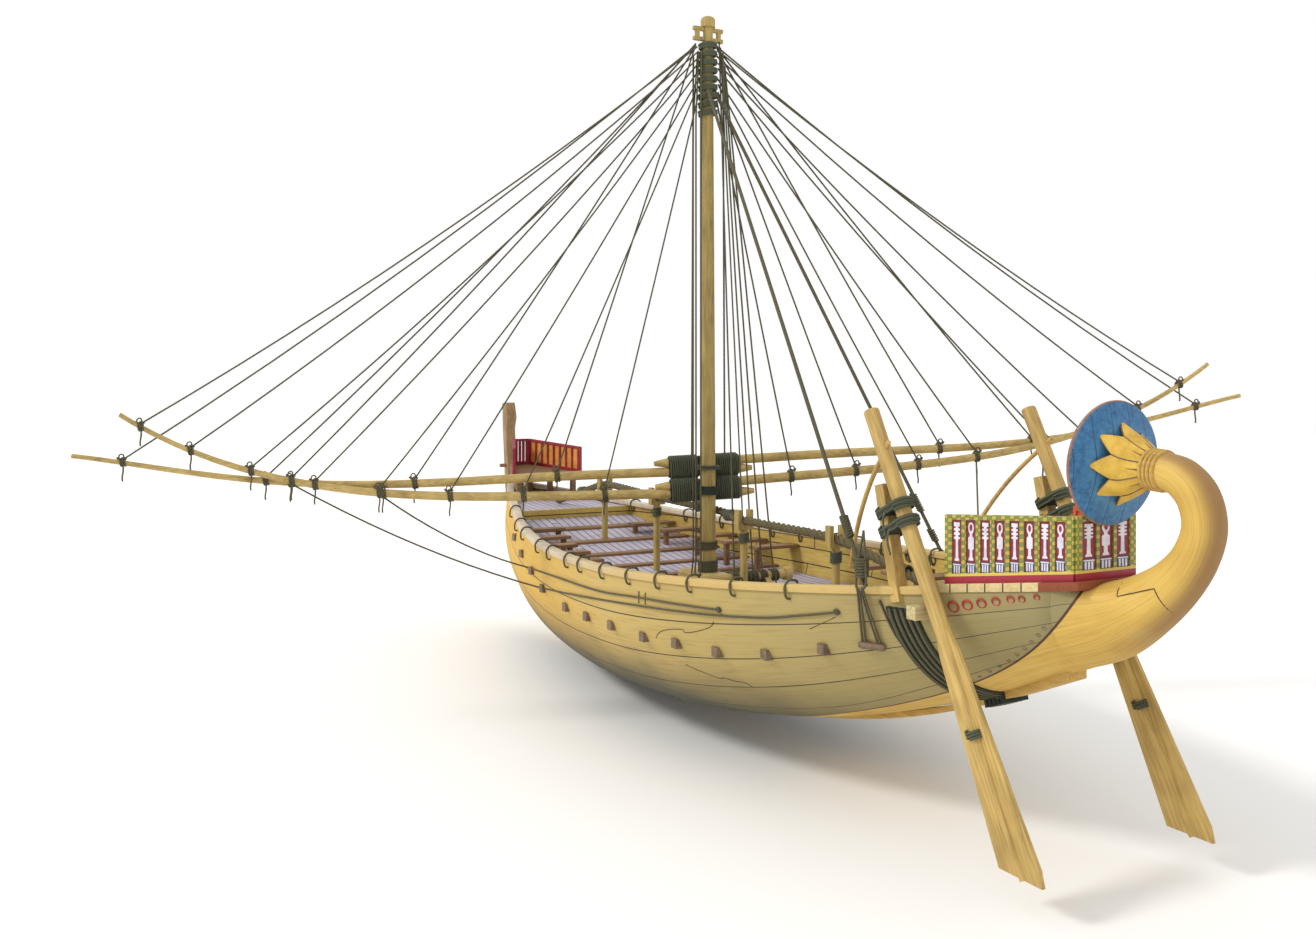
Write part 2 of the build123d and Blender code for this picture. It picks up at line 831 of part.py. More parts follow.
def seizing(base_z, ahead, spars):
    place = Plane(
        origin=yard_point(base_z, ahead, 0, 0, 0), x_dir=forward, z_dir=along
    )
    binding = obround(spar_root_radius + seizing_thickness, spar_root_radius, seizing_length, place)
    return cut(binding, *spars)


boom_port = half_spar(boom_z, boom_forward, boom_stations, 1)
boom_starboard = half_spar(boom_z, boom_forward, boom_stations, -1)
yard_port = half_spar(yard_z, yard_forward, yard_stations, 1)
yard_starboard = half_spar(yard_z, yard_forward, yard_stations, -1)
save("boom_port", boom_port)
save("boom_starboard", boom_starboard - boom_port)
save("yard_port", yard_port)
save("yard_starboard", yard_starboard - yard_port)

boom_binding = seizing(boom_z, boom_forward, (boom_port, boom_starboard))
strap = rod(
    (0, 0, boom_z - mast_strap_height / 2), (0, 0, boom_z + mast_strap_height / 2), mast_radius(boom_z) + mast_strap_thickness
)
strap_arm = beam(
    (0, -0.8 * mast_radius(boom_z), boom_z - mast_strap_height / 2),
    (boom_forward, 0.8 * mast_radius(boom_z), boom_z + mast_strap_height / 2),
)
boom_binding = cut(boom_binding + strap + strap_arm, mast, boom_port, boom_starboard)
save("boom_seizing", max(boom_binding.solids(), key=lambda solid: solid.volume))

yard_binding = seizing(yard_z, yard_forward, (yard_port, yard_starboard))
parrel_in = mast_radius(yard_z - parrel_height / 2) + parrel_gap
parrel = rod((0, 0, yard_z - parrel_height / 2), (0, 0, yard_z + parrel_height / 2), parrel_in + parrel_thickness)
parrel_arm = Rot(0, 0, -brace_angle) * beam(
    (0, -0.8 * parrel_in, yard_z - parrel_height / 2), (yard_forward, 0.8 * parrel_in, yard_z + parrel_height / 2)
)
bore = rod((0, 0, yard_z - parrel_height), (0, 0, yard_z + parrel_height), parrel_in)
yard_binding = cut(yard_binding + parrel + parrel_arm, bore, yard_port, yard_starboard)
save("yard_seizing", max(yard_binding.solids(), key=lambda solid: solid.volume))

# ---- Hogging truss ----
truss_line = FilletPolyline(*truss_points, radius=truss_bend_radius)
truss = sweep(
    Plane(origin=truss_line @ 0, z_dir=truss_line % 0) * Circle(truss_diameter / 2), path=truss_line
)
truss = cut(truss, below_top, main_deck, foredeck, aft_deck, bulkhead & inner)
truss = max(truss.solids(), key=lambda solid: solid.volume)
save("hogging_truss", truss)


def truss_z(x):
    return between([(p[0], p[1], p[2]) for p in truss_points], x, 2)


posts = []
for x in truss_post_xs:
    top = truss_z(x) - fork_below_rope
    post = rod((x, 0, 0), (x, 0, top), truss_post_diameter / 2)
    fork = beam((x - fork_depth / 2, -fork_width / 2, top), (x + fork_depth / 2, fork_width / 2, top + fork_height))
    throat = beam(
        (x - fork_depth, -truss_diameter / 2 - 6, truss_z(x) - 30),
        (x + fork_depth, truss_diameter / 2 + 6, top + fork_height + 100),
    )
    post = cut(post + fork, throat, truss, below_top, *beams)
    posts.append(max(post.solids(), key=lambda solid: solid.volume))
save("truss_posts", Compound(children=posts))

# ---- Girdle round the stern ----
band = (hull_loft(girdle_strand) + keel_loft(girdle_strand)) - outer - keel
strands = []
for index in range(girdle_strands):
    offset = (index - (girdle_strands - 1) / 2) * girdle_pitch
    slab = Pos(girdle_x, 0, girdle_z) * Rot(0, girdle_rake, 0) * Pos(offset, 0, 0) * Box(girdle_strand, 6000, 6000)
    strand = band & slab & beam((-far, -far, -far), (far, far, girdle_top_z))
    strands.extend(strand.solids())
save("stern_girdle", Compound(children=strands))

# ---- Steering gear ----
tip = Vector(blade_tip[0], oar_y, blade_tip[1])
head = Vector(loom_top[0], oar_y, loom_top[1])
oar_axis = (head - tip).normalized()
oar_length = (head - tip).length
oar_plane = Plane(origin=tip, x_dir=oar_axis, z_dir=(0, -1, 0))


def oar_point(distance):
    return tip + oar_axis * distance


def loom_at(z):
    return oar_point((z - tip.Z) / oar_axis.Z)


loom = rod(oar_point(blade_length), head, loom_diameter / 2)
loom = fillet(loom.edges().filter_by(GeomType.CIRCLE).group_by(Axis.Z)[-1], radius=25)
loom = loom + rod(oar_point(120), oar_point(blade_length), loom_tip_diameter / 2, loom_diameter / 2)
blade_outline = Polyline(
    (blade_tip_slope, -blade_tip_width / 2),
    (0, blade_tip_width / 2 - 40),
    (blade_tip_slope * 0.6, blade_tip_width / 2),
    (blade_length - blade_shoulder_slope, blade_shoulder_width / 2),
    (blade_length, 0.6 * blade_shoulder_width / 2),
    (blade_length, -0.6 * blade_shoulder_width / 2),
    (blade_length - blade_shoulder_slope, -blade_shoulder_width / 2),
    close=True,
)
blade = extrude(oar_plane * make_face(blade_outline), amount=blade_thickness / 2, both=True)
blade = blade - loom
root = loom_at(tiller_root_z)
grip = Vector(*tiller_grip)
middle = (root + grip) * 0.5 + Vector(0.75, -0.1, 0.65).normalized() * tiller_bow
tiller_line = ThreePointArc(root, middle, grip)
tiller = sweep(Plane(origin=root, z_dir=tiller_line % 0) * Circle(tiller_diameter / 2), path=tiller_line)
peg = rod(root - oar_axis * 0, root + (root - middle).normalized() * tiller_peg, tiller_diameter / 2)
tiller = (tiller + peg) - loom
tiller_pieces = [solid for solid in tiller.solids() if solid.volume > 1e4]

beam_stub = beam(
    (oar_beam_x - oar_beam_section / 2, 0, oar_beam_z - oar_beam_section / 2),
    (oar_beam_x + oar_beam_section / 2, oar_beam_half_length, oar_beam_z + oar_beam_section / 2),
)
beam_stub = max((beam_stub - outer - bracket).solids(), key=lambda solid: solid.volume)

post_run = Vector(stanchion_top[0] - stanchion_foot[0], 0, stanchion_top[1] - stanchion_foot[1])
post_plane = Plane(
    origin=(stanchion_foot[0], oar_y, stanchion_foot[1]), x_dir=(0, 1, 0), z_dir=post_run
)
stanchion = extrude(post_plane * Rectangle(stanchion_section, stanchion_section), amount=post_run.length)
stanchion = cut(stanchion, cap_port, outer)
stanchion = max(stanchion.solids(), key=lambda solid: solid.volume)


def stanchion_x(z):
    share = (z - stanchion_foot[1]) / (stanchion_top[1] - stanchion_foot[1])
    return stanchion_foot[0] + share * (stanchion_top[0] - stanchion_foot[0])


oar_seizings = []
for z in oar_seizing_zs:
    centre = loom_at(z)
    place = Plane(origin=centre, x_dir=(0, 1, 0), z_dir=oar_axis)
    ahead = (stanchion_x(z) - centre.X) * oar_axis.Z
    round_loom = loom_diameter / 2 + oar_seizing_thickness
    round_post = stanchion_section / 2 + oar_seizing_thickness
    outline = make_face(
        Polyline(
            (-round_loom, 0), (round_loom, 0), (round_post, -ahead - round_post), (-round_post, -ahead - round_post), close=True
        )
    ) + Circle(round_loom)
    binding = extrude(place * outline, amount=oar_seizing_height / 2, both=True)
    bore = rod(centre - oar_axis * 300, centre + oar_axis * 300, loom_diameter / 2 + running_gap)
    oar_seizings.append(max(cut(binding, bore, stanchion).solids(), key=lambda q: q.volume))

for name, turn in (("port", lambda shape: shape), ("starboard", mirror_port)):
    save(f"oar_loom_{name}", turn(loom))
    save(f"oar_blade_{name}", Compound(children=[turn(q) for q in blade.solids()]))
    save(f"oar_tiller_{name}", Compound(children=[turn(q) for q in tiller_pieces]))
    save(f"oar_beam_{name}", turn(beam_stub))
    save(f"stanchion_{name}", turn(stanchion))
    save(f"oar_seizings_{name}", Compound(children=[turn(q) for q in oar_seizings]))

# ---- Benches ----
benches = []
for x in bench_xs:
    top = sheer_z(x) - bench_below_sheer
    side_y = half_breadth(x) - bulwark_thickness
    inboard = side_y - bench_reach
    plank = beam((x - bench_width / 2, inboard, top - bench_thickness), (x + bench_width / 2, side_y + 300, top))
    leg = beam(
        (x - bench_leg / 2, inboard + 60, 0), (x + bench_leg / 2, inboard + 60 + bench_leg, top - bench_thickness / 2)
    )
    bench = ((plank + leg) & inner) - below_top
    benches.append(max(bench.solids(), key=lambda solid: solid.volume))
save("benches_port", Compound(children=benches))
save("benches_starboard", Compound(children=[mirror_port(b) for b in benches]))
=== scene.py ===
import math
import random

import bmesh
import bpy
from mathutils import Matrix, Vector


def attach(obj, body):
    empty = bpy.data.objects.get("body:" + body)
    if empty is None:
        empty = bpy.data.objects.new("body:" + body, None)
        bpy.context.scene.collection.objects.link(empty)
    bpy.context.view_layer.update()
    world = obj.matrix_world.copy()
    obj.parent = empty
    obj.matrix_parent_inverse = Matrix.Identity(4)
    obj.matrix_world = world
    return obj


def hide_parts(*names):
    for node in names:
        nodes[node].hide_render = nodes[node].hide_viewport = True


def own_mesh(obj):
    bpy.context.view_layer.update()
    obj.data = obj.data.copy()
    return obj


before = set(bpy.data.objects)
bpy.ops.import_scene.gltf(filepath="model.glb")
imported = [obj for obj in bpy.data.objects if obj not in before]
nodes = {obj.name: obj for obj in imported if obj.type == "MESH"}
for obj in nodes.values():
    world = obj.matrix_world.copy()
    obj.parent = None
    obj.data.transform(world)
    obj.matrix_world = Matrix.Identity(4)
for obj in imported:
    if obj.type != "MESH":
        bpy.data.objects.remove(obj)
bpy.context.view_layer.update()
tau = 2 * math.pi
sides = (("port", 1), ("starboard", -1))


# Colours and shader maths.
def tone(code, alpha=1.0):
    # A screen colour such as "c8a45a" as the linear colour that nodes expect.
    screen = [int(code[start:start + 2], 16) / 255 for start in (0, 2, 4)]
    return (*[v / 12.92 if v <= 0.04045 else ((v + 0.055) / 1.055) ** 2.4 for v in screen], alpha)


def mathsOf(kind, swap=False):
    return lambda self, other=0.0: self.math(kind, other, swap)


class Wire:
    # One socket that can be added, multiplied and compared like a number.
    def __init__(self, finish, socket):
        self.finish, self.socket = finish, socket

    def math(self, kind, other=0.0, swap=False):
        first, second = (other, self) if swap else (self, other)
        return self.finish.node("ShaderNodeMath", {"operation": kind}, {0: first, 1: second})

    __add__ = __radd__ = mathsOf("ADD")
    __mul__ = __rmul__ = mathsOf("MULTIPLY")
    __sub__, __rsub__ = mathsOf("SUBTRACT"), mathsOf("SUBTRACT", swap=True)
    __truediv__, __gt__, __lt__ = mathsOf("DIVIDE"), mathsOf("GREATER_THAN"), mathsOf("LESS_THAN")
    part, whole, size, wave = mathsOf("FRACT"), mathsOf("FLOOR"), mathsOf("ABSOLUTE"), mathsOf("SINE")
    atMost, atLeast = mathsOf("MINIMUM"), mathsOf("MAXIMUM")

    def edge(self):
        # 0 in the middle of each whole step and 1 at its ends.
        return (self.part() - 0.5).size() * 2

    def step(self, low, high):
        return self.finish.node(
            "ShaderNodeMapRange", {"interpolation_type": "SMOOTHSTEP"}, {0: self, 1: low, 2: high, 3: 0.0, 4: 1.0}
        )


scarf = {"aft": 7.38, "z": 0.69, "slope": 2.05, "bend": 0.66}  # curve where the sternpost meets the planks


class Finish:
    # A material with a short way to add nodes to it.
    def __init__(self, name, roughness=0.7, **fixed):
        self.material = bpy.data.materials.new(name)
        self.material.use_nodes = True
        self.tree = self.material.node_tree
        self.shader = self.tree.nodes["Principled BSDF"]
        self.shader.inputs["Roughness"].default_value = roughness
        for socket, value in fixed.items():
            self.shader.inputs[socket.replace("_", " ")].default_value = value

    def node(self, kind, settings=None, inputs=None, out=0):
        made = self.tree.nodes.new(kind)
        for key, value in (settings or {}).items():
            if key == "stops":
                ramp = made.color_ramp
                while len(ramp.elements) < len(value):
                    ramp.elements.new(0.5)
                for element, (place, colour) in zip(ramp.elements, value):
                    element.position, element.color = place, colour
            else:
                setattr(made, key, value)
        for key, value in (inputs or {}).items():
            socket = made.inputs[key]
            if isinstance(value, Wire):
                self.tree.links.new(value.socket, socket)
            else:
                socket.default_value = value
        return Wire(self, made.outputs[out])

    def place(self):
        return self.node("ShaderNodeTexCoord", out="Object")

    def axes(self, vector=None):
        split = self.node("ShaderNodeSeparateXYZ", inputs={0: vector or self.place()})
        return [Wire(self, split.socket.node.outputs[i]) for i in range(3)]

    def surface(self):
        return self.axes(self.node("ShaderNodeUVMap", {"uv_map": "surface"}))[:2]

    def join(self, x, y, z=0.0):
        return self.node("ShaderNodeCombineXYZ", inputs={0: x, 1: y, 2: z})

    def noise(self, vector, scale=1.0, detail=3.0, rough=0.55):
        return self.node(
            "ShaderNodeTexNoise", inputs={"Vector": vector, "Scale": scale, "Detail": detail, "Roughness": rough}
        )

    def chance(self, vector):
        return self.node("ShaderNodeTexWhiteNoise", {"noise_dimensions": "3D"}, {"Vector": vector})

    def ramp(self, factor, *stops):
        return self.node("ShaderNodeValToRGB", {"stops": stops}, {0: factor})

    def blend(self, factor, first, second, kind="MIX"):
        made = self.node(
            "ShaderNodeMix", {"data_type": "RGBA", "blend_type": kind, "clamp_factor": True},
            {0: factor, 6: first, 7: second}
        )
        return Wire(self, made.socket.node.outputs[2])

    def fromScarf(self):
        # Below 0 aft of the scarf, above 0 forward of it.
        x, _, z = self.axes()
        rise = z - scarf["z"]
        return x + scarf["aft"] + rise * scarf["slope"] - rise * rise * scarf["bend"]

    def feed(self, socket, wire):
        self.tree.links.new(wire.socket, self.shader.inputs[socket])

    def bump(self, height, strength=0.4, distance=0.01):
        self.feed("Normal", self.node(
            "ShaderNodeBump", inputs={"Strength": strength, "Distance": distance, "Height": height}
        ))


def woodFinish(name, light, dark, grain="x", board=0.0, across="y", roughness=0.72, seamTone="3b2f22", lean=0.0,
               tail=None, gap=0.06):
    # Timber with streaky grain along one axis, and boards with dark seams if a board width is given.
    # tail is another light and dark aft of an x, and how softly it starts.
    finish = Finish(name, roughness)
    x, y, z = finish.axes()
    if lean:
        x, z = x * math.cos(lean) - z * math.sin(lean), x * math.sin(lean) + z * math.cos(lean)
    named = {"x": x, "y": y, "z": z}
    stretch = [named[a] * (1.6 if a == grain else 26.0) for a in "xyz"]
    streaks = finish.noise(finish.join(*stretch), 1.0, 4.0, 0.6)
    blotches = finish.noise(finish.place(), 1.7, 2.0)
    tint = streaks * 0.7 + blotches * 0.45
    height = streaks * 0.5
    colour = finish.ramp(tint, (0.36, tone(dark)), (0.72, tone(light)))
    if board:
        row = named[across] / board
        number = row.whole()
        run = named[grain] / 3.4 + finish.chance(finish.join(number, 3.0)) * 5.0
        chance = finish.chance(finish.join(number, run.whole()))
        colour = finish.blend(chance * 0.3, colour, tone(dark))
        sideSeam = 1 - row.edge().step(1 - gap * 1.6, 1 - gap)
        seam = sideSeam.atMost(1 - run.edge().step(1 - 0.010, 1 - 0.004))
        colour = finish.blend(seam, tone(seamTone), colour)
        height = height + seam * 2.0
    if tail:
        start, tailLight, tailDark, soft = tail
        aft = finish.blend(streaks * 0.5, tone(tailLight), tone(tailDark))
        colour = finish.blend(x.step(start - soft, start + soft), aft, colour)
    finish.feed("Base Color", colour)
    finish.feed("Roughness", streaks * 0.25 + (roughness - 0.12))
    finish.bump(height, 0.35, 0.006)
    return finish.material


def postTone(finish, u, v):
    # Golden timber of the sternpost, with grain along it.
    grain = finish.noise(finish.join(u * 1.5, v * 34.0), 1.0, 4.0, 0.6)
    blotches = finish.noise(finish.place(), 1.3, 2.0)
    stops = (0.3, tone("ac873c")), (0.55, tone("cba54c")), (0.78, tone("d9b95f"))
    return finish.ramp(grain * 0.6 + blotches * 0.5, *stops), grain


hullTones = {  # side colour from stern to bow, its darker greyer stern end partly painted shade under the platform, then what is laid over it, low being painted shade towards the keel
    "side": ((0.02, "8f8458"), (0.2, "aa975c"), (0.42, "c4a75e"), (0.6, "cea436"), (0.95, "cca01f")),
    "from": 9.0, "length": 18.0, "rows": 6.4, "plank": "94753c", "grain": "86683a", "low": "3f4335", "seam": "33291a",
}


def hullTone(finish, u, v, grain):
    # Planks by the surface map: u is metres along the ship, v is 0 at the sheer and 1 at the keel.
    x, _, z = finish.axes()
    lower = v.step(0.45, 0.6)
    row = v * hullTones["rows"] + (u * 0.9).wave() * (u * 0.37 + 1.0).wave() * lower * 0.3
    number = row.whole()
    chance = finish.chance(finish.join(number, 2.0, 4.0))
    seam = 1 - row.edge().step(0.955, 0.985)
    blotches = finish.noise(finish.place(), 0.9, 2.0)
    stops = [(place, tone(code)) for place, code in hullTones["side"]]
    # Tone along the ship: its darker, greyer stern end is partly the planks' own colour and partly painted shade under
    # the platform.
    side = finish.ramp((x + hullTones["from"]) / hullTones["length"], *stops)
    side = finish.blend(chance * 0.28, side, tone(hullTones["plank"]))
    side = finish.blend(grain.step(0.45, 0.75) * 0.35, side, tone(hullTones["grain"]))
    # Painted shade: the side turns dark towards the keel, with blotches along where it starts.
    low = 1 - (z + blotches * 0.5).step(-0.45, 0.85)
    side = finish.blend(low * 0.94, side, tone(hullTones["low"]))
    return finish.blend(seam, tone(hullTones["seam"]), side), seam


def shellFinish(name, edge=False):
    # Hull planks forward of the scarf, sternpost timber aft of it, with painted shade in brown along the post's outer
    # edge if asked for.
    finish = Finish(name, 0.66)
    u, v = finish.surface()
    grain = finish.noise(finish.join(u * 1.3, v * 95.0), 1.0, 4.0, 0.6)
    gold, goldGrain = postTone(finish, u, v)
    planks, seam = hullTone(finish, u, v, grain)
    if edge:
        # Painted shade: brown laid over the post's outer side, growing aft from x -8.8 to -10.
        x = finish.axes()[0]
        shade = (v + goldGrain * 0.08).step(0.6, 0.95) * (1 - x.step(-10.0, -8.8))
        gold = finish.blend(shade * 0.75, gold, tone("7d5638"))
    ahead = finish.fromScarf()
    colour = finish.blend(ahead.step(-0.01, 0.01), gold, planks)
    line = ahead.size().step(0.008, 0.022)
    colour = finish.blend(line, tone("4a2a18"), colour)
    finish.feed("Base Color", colour)
    finish.feed("Roughness", grain * 0.25 + 0.5)
    finish.bump(grain * 0.35 + seam * 2.0 + line, 0.5, 0.008)
    return finish.material


def ropeFinish(name="darkRope", dark="12140d", light="7d7656", turns=3.0, lay=0.11, share=0.64):
    # Laid rope: u runs round it and v is metres along it over its diameter.
    finish = Finish(name, 0.85)
    u, v = finish.surface()
    # The rope's own dark colour, deepened as painted shade in the grooves between strands, with the light as a painted
    # highlight on each strand's crown; share sets how much of a strand is lit.
    groove = (u * turns + v * lay * 4.0).edge()
    yarn = finish.noise(finish.join(u * 9.0, v * 3.0), 2.0, 2.0)
    colour = finish.blend((1 - groove.step(share - 0.1, share + 0.25)) * 0.9, tone(dark), tone(light))
    colour = finish.blend(yarn * 0.4, colour, tone(dark))
    finish.feed("Base Color", colour)
    finish.bump(1 - groove + yarn * 0.3, 0.6, 0.008)
    return finish.material


def paintFinish(name, light, dark, roughness=0.55):
    finish = Finish(name, roughness)
    wear = finish.noise(finish.place(), 5.5, 4.0, 0.65)
    fine = finish.noise(finish.place(), 60.0, 2.0)
    finish.feed("Base Color", finish.ramp(wear * 0.8 + fine * 0.25, (0.38, tone(dark)), (0.66, tone(light))))
    finish.feed("Roughness", fine * 0.25 + (roughness - 0.1))
    finish.bump(fine * 0.5 + wear, 0.2, 0.003)
    return finish.material


def discFinish():
    finish = Finish("lotusBlue", 0.5)
    _, y, z = finish.axes()
    mottle = finish.noise(finish.place(), 14.0, 4.0, 0.7)
    colour = finish.ramp(mottle, (0.3, tone("184f7c")), (0.7, tone("3a7cab")))
    up = z - 3.45  # from the disc's middle
    middle = 1 - ((y * y + up * up).math("SQRT")).step(0.25, 0.6)
    colour = finish.blend(middle * 0.6, colour, tone("6aa6c8"))
    row = (y + 0.02 * (z * 6.0).wave()) / 0.27 + 0.5
    seam = row.edge().step(0.95, 0.985)
    colour = finish.blend(seam, colour, tone("123a58"))
    finish.feed("Base Color", colour)
    finish.bump(mottle * 0.4 - seam, 0.3, 0.004)
    return finish.material


print("finishes")
hullWood = shellFinish("hullPlanks")
postWood = woodFinish("sternpostWood", "cda85a", "a07c36", grain="x")
capWood = woodFinish("capWood", "cdbfa8", "a8977c", grain="x", tail=(-1.2, "c9ad6c", "a5853f", 2.5))
deckWood = woodFinish("deckWood", "b9b0bb", "a19aa6", grain="x", board=0.17, seamTone="3f3943", gap=0.1)
innerWood = woodFinish("innerSideWood", "cdb25c", "a5863c", grain="x", board=0.3, across="z")
beamWood = woodFinish("redBrownWood", "93704c", "654a30", grain="y")
stemWood = woodFinish("stemWood", "a0835c", "6f5436", grain="z")
blockWood = woodFinish("beamEndWood", "806b54", "503f30", grain="y")
seamWood = woodFinish("seamWood", "4a3a26", "2c2216")
rimWood = woodFinish("rimWood", "9c7866", "6a4c40", grain="y")
sparWood = woodFinish("sparWood", "c6ab68", "8d743c", grain="y", roughness=0.6)
mastWood = woodFinish("mastWood", "b8a05c", "806b38", grain="z", roughness=0.6)
oarWood = woodFinish("oarWood", "c8a860", "8d7038", grain="z", roughness=0.62, lean=math.radians(27.6))
paleWood = woodFinish("paleWood", "cfc08e", "9a8a5c", grain="y")
darkRope = ropeFinish()
bindingRope = ropeFinish("bindingRope", "171d16", "7b8165", lay=0.12, share=0.55)
trussRope = ropeFinish("trussRope", "2a281a", "9d8c5c", lay=0.05, share=0.42)
crimsonPaint = paintFinish("crimsonPaint", "a01f31", "74101f")
orangePaint = paintFinish("orangePaint", "e0a04a", "bd7a2a")
redPaint = paintFinish("redPanelPaint", "9c2236", "70142a")
palePaint = paintFinish("paleFigurePaint", "e6e2ea", "c4bccb")
bluePaint = paintFinish("bluePaint", "55658f", "3a4568")
ringPaint = paintFinish("ringPaint", "b0342c", "8b2019")
goldPaint = paintFinish("lotusGold", "ddb648", "b98f2c")
lotusBlue = discFinish()


# Mesh helpers.
def piece(name, bm, material, body="hull", smooth=True, replaces=(), recalc=True):
    if recalc:
        bmesh.ops.recalc_face_normals(bm, faces=bm.faces[:])
    mesh = bpy.data.meshes.new(name)
    for face in bm.faces:
        face.smooth = smooth
    bm.to_mesh(mesh)
    bm.free()
    mesh.materials.append(material)
    made = bpy.data.objects.new(name, mesh)
    bpy.context.scene.collection.objects.link(made)
    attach(made, body)
    if replaces:
        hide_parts(*replaces)
    return made


def sharpen(made, angle=40):
    # Smooth shading that keeps the edges that are sharper than the angle.
    mesh = made.data
    bm = bmesh.new()
    bm.from_mesh(mesh)
    limit = math.radians(angle)
    for edge in bm.edges:
        if len(edge.link_faces) == 2 and edge.calc_face_angle(0) > limit:
            edge.smooth = False
    bm.to_mesh(mesh)
    bm.free()
    return made


def closeEnds(bm):
    bmesh.ops.holes_fill(bm, edges=[e for e in bm.edges if e.is_boundary], sides=0)


def loftRings(bm, rings, maps=None, closed=False):
    # Joins neighbouring rings of points with bridged faces, and writes the surface map from maps.
    layer = bm.loops.layers.uv.get("surface") or bm.loops.layers.uv.new("surface")
    where, before = {}, None
    made = []
    for index, ring in enumerate(rings):
        verts = [bm.verts.new(p) for p in ring]
        edges = [bm.edges.new((a, b)) for a, b in zip(verts, verts[1:])]
        if closed:
            edges.append(bm.edges.new((verts[-1], verts[0])))
        if maps:
            where.update({v: uv for v, uv in zip(verts, maps[index])})
        if before:
            made += bmesh.ops.bridge_loops(bm, edges=before + edges)["faces"]
        before = edges
    if maps:
        for face in made:
            for loop in face.loops:
                loop[layer].uv = where[loop.vert]
    return made


def tube(bm, points, radius, corners=6, radii=None, cyclic=False, mapScale=None):
    # A round rope or spar along points, added to bm with u round it and v along it in diameters.
    curve = bpy.data.curves.new("line", "CURVE")
    curve.dimensions = "3D"
    curve.bevel_depth = radius
    curve.bevel_resolution = max(0, corners // 2 - 2)
    curve.use_fill_caps = True
    line = curve.splines.new("POLY")
    line.points.add(len(points) - 1)
    for index, point in enumerate(points):
        line.points[index].co = (*point, 1)
        line.points[index].radius = radii[index] if radii else 1.0
    line.use_cyclic_u = cyclic
    holder = bpy.data.objects.new("line", curve)
    bpy.context.scene.collection.objects.link(holder)
    bpy.context.view_layer.update()
    mesh = bpy.data.meshes.new_from_object(holder)
    length = sum((Vector(b) - Vector(a)).length for a, b in zip(points, points[1:]))
    stretch = length / (mapScale or 2 * radius)
    mesh.uv_layers[0].name = "surface"
    for spot in mesh.uv_layers[0].data:
        spot.uv = (spot.uv[0], spot.uv[1] * stretch)
    bm.from_mesh(mesh)
    bpy.data.objects.remove(holder)
    bpy.data.curves.remove(curve)
    bpy.data.meshes.remove(mesh)


def smoothLine(points, count):
    # Catmull-Rom curve through the points.
    pts = [Vector(p) for p in points]
    out = []
    for index in range(len(pts) - 1):
        a, b, c, d = pts[max(0, index - 1)], pts[index], pts[index + 1], pts[min(len(pts) - 1, index + 2)]
        for step in range(count):
            t = step / count
            bend, twist = 2 * a - 5 * b + 4 * c - d, 3 * b - a - 3 * c + d
            out.append(0.5 * (2 * b + (c - a) * t + bend * t * t + twist * t ** 3))
    out.append(pts[-1])
    return out


def softened(name, node, material, width=0.008, body="hull", segments=2, angle=32):
    # A copy of a CAD piece with its edges rounded.
    bm = bmesh.new()
    bm.from_mesh(nodes[node].data)
    bmesh.ops.remove_doubles(bm, verts=bm.verts[:], dist=1e-4)
    bmesh.ops.dissolve_limit(bm, angle_limit=math.radians(1.0), verts=bm.verts[:], edges=bm.edges[:])
    limit = math.radians(angle)
    sharp = [e for e in bm.edges if len(e.link_faces) == 2 and e.calc_face_angle(0) > limit]
    bmesh.ops.bevel(
        bm, geom=[e for e in sharp if e.calc_length() > width * 2], offset=width, offset_type="OFFSET", affect="EDGES",
        segments=segments, profile=0.5, material=-1, clamp_overlap=True
    )
    made = piece(name, bm, material, body, replaces=(node,), recalc=False)
    return sharpen(made, 50)


def coil(centre, axis, side, radiusA, radiusB, turns, pitch, steps=14, flat=0.0):
    # Turns of rope round an oval; flat is half the straight stretch between its two rounds.
    axis, side = Vector(axis).normalized(), Vector(side).normalized()
    up = axis.cross(side).normalized()
    out = []
    total = int(turns * steps)
    for index in range(total + 1):
        a = index / steps * tau
        shift = axis * ((index / steps - turns / 2) * pitch)
        rise = math.sin(a) * radiusB + (flat if math.sin(a) >= 0 else -flat)
        out.append(Vector(centre) + side * (math.cos(a) * radiusA) + up * rise + shift)
    return out


# Hull skin.
hull = {
    "rows": [  # x, half breadth, sheer, bottom, in metres
        (-8.7, 0.62, 2.05, 1.1), (-7.2, 1.28, 1.86, 0.45), (-5.0, 2.18, 1.65, -0.28), (-2.5, 2.78, 1.5, -0.77),
        (0.0, 2.8, 1.45, -1.05), (3.0, 2.31, 1.51, -1.2), (6.0, 1.4, 1.68, -1.08), (8.2, 0.66, 1.83, -0.5),
        (9.1, 0.3, 1.9, 0.38), (9.6, 0.11, 1.95, 1.23)],
    "keelHalf": 0.07, "bilgeOut": 0.735, "bilgeUp": 0.265, "wall": 0.11, "stations": 84, "girth": 22,
}


def hullAt(x, column):
    # Smooth value of one column of the hull's rows at x.
    rows = hull["rows"]
    k = max(0, min(len(rows) - 2, sum(1 for r in rows if r[0] <= x) - 1))
    x0, x1 = rows[k][0], rows[k + 1][0]

    def slope(i):
        if i == 0 or i == len(rows) - 1:
            a, b = (0, 1) if i == 0 else (i - 1, i)
            return (rows[b][column] - rows[a][column]) / (rows[b][0] - rows[a][0])
        left = (rows[i][column] - rows[i - 1][column]) / (rows[i][0] - rows[i - 1][0])
        right = (rows[i + 1][column] - rows[i][column]) / (rows[i + 1][0] - rows[i][0])
        wl, wr = rows[i + 1][0] - rows[i][0], rows[i][0] - rows[i - 1][0]
        return (left * wl + right * wr) / (wl + wr)

    h = x1 - x0
    t = (x - x0) / h
    a, b = rows[k][column], rows[k + 1][column]
    ease = (2 * t**3 - 3 * t**2 + 1) * a + (t**3 - 2 * t**2 + t) * (slope(k) * h)
    return ease + (3 * t**2 - 2 * t**3) * b + (t**3 - t**2) * (slope(k + 1) * h)


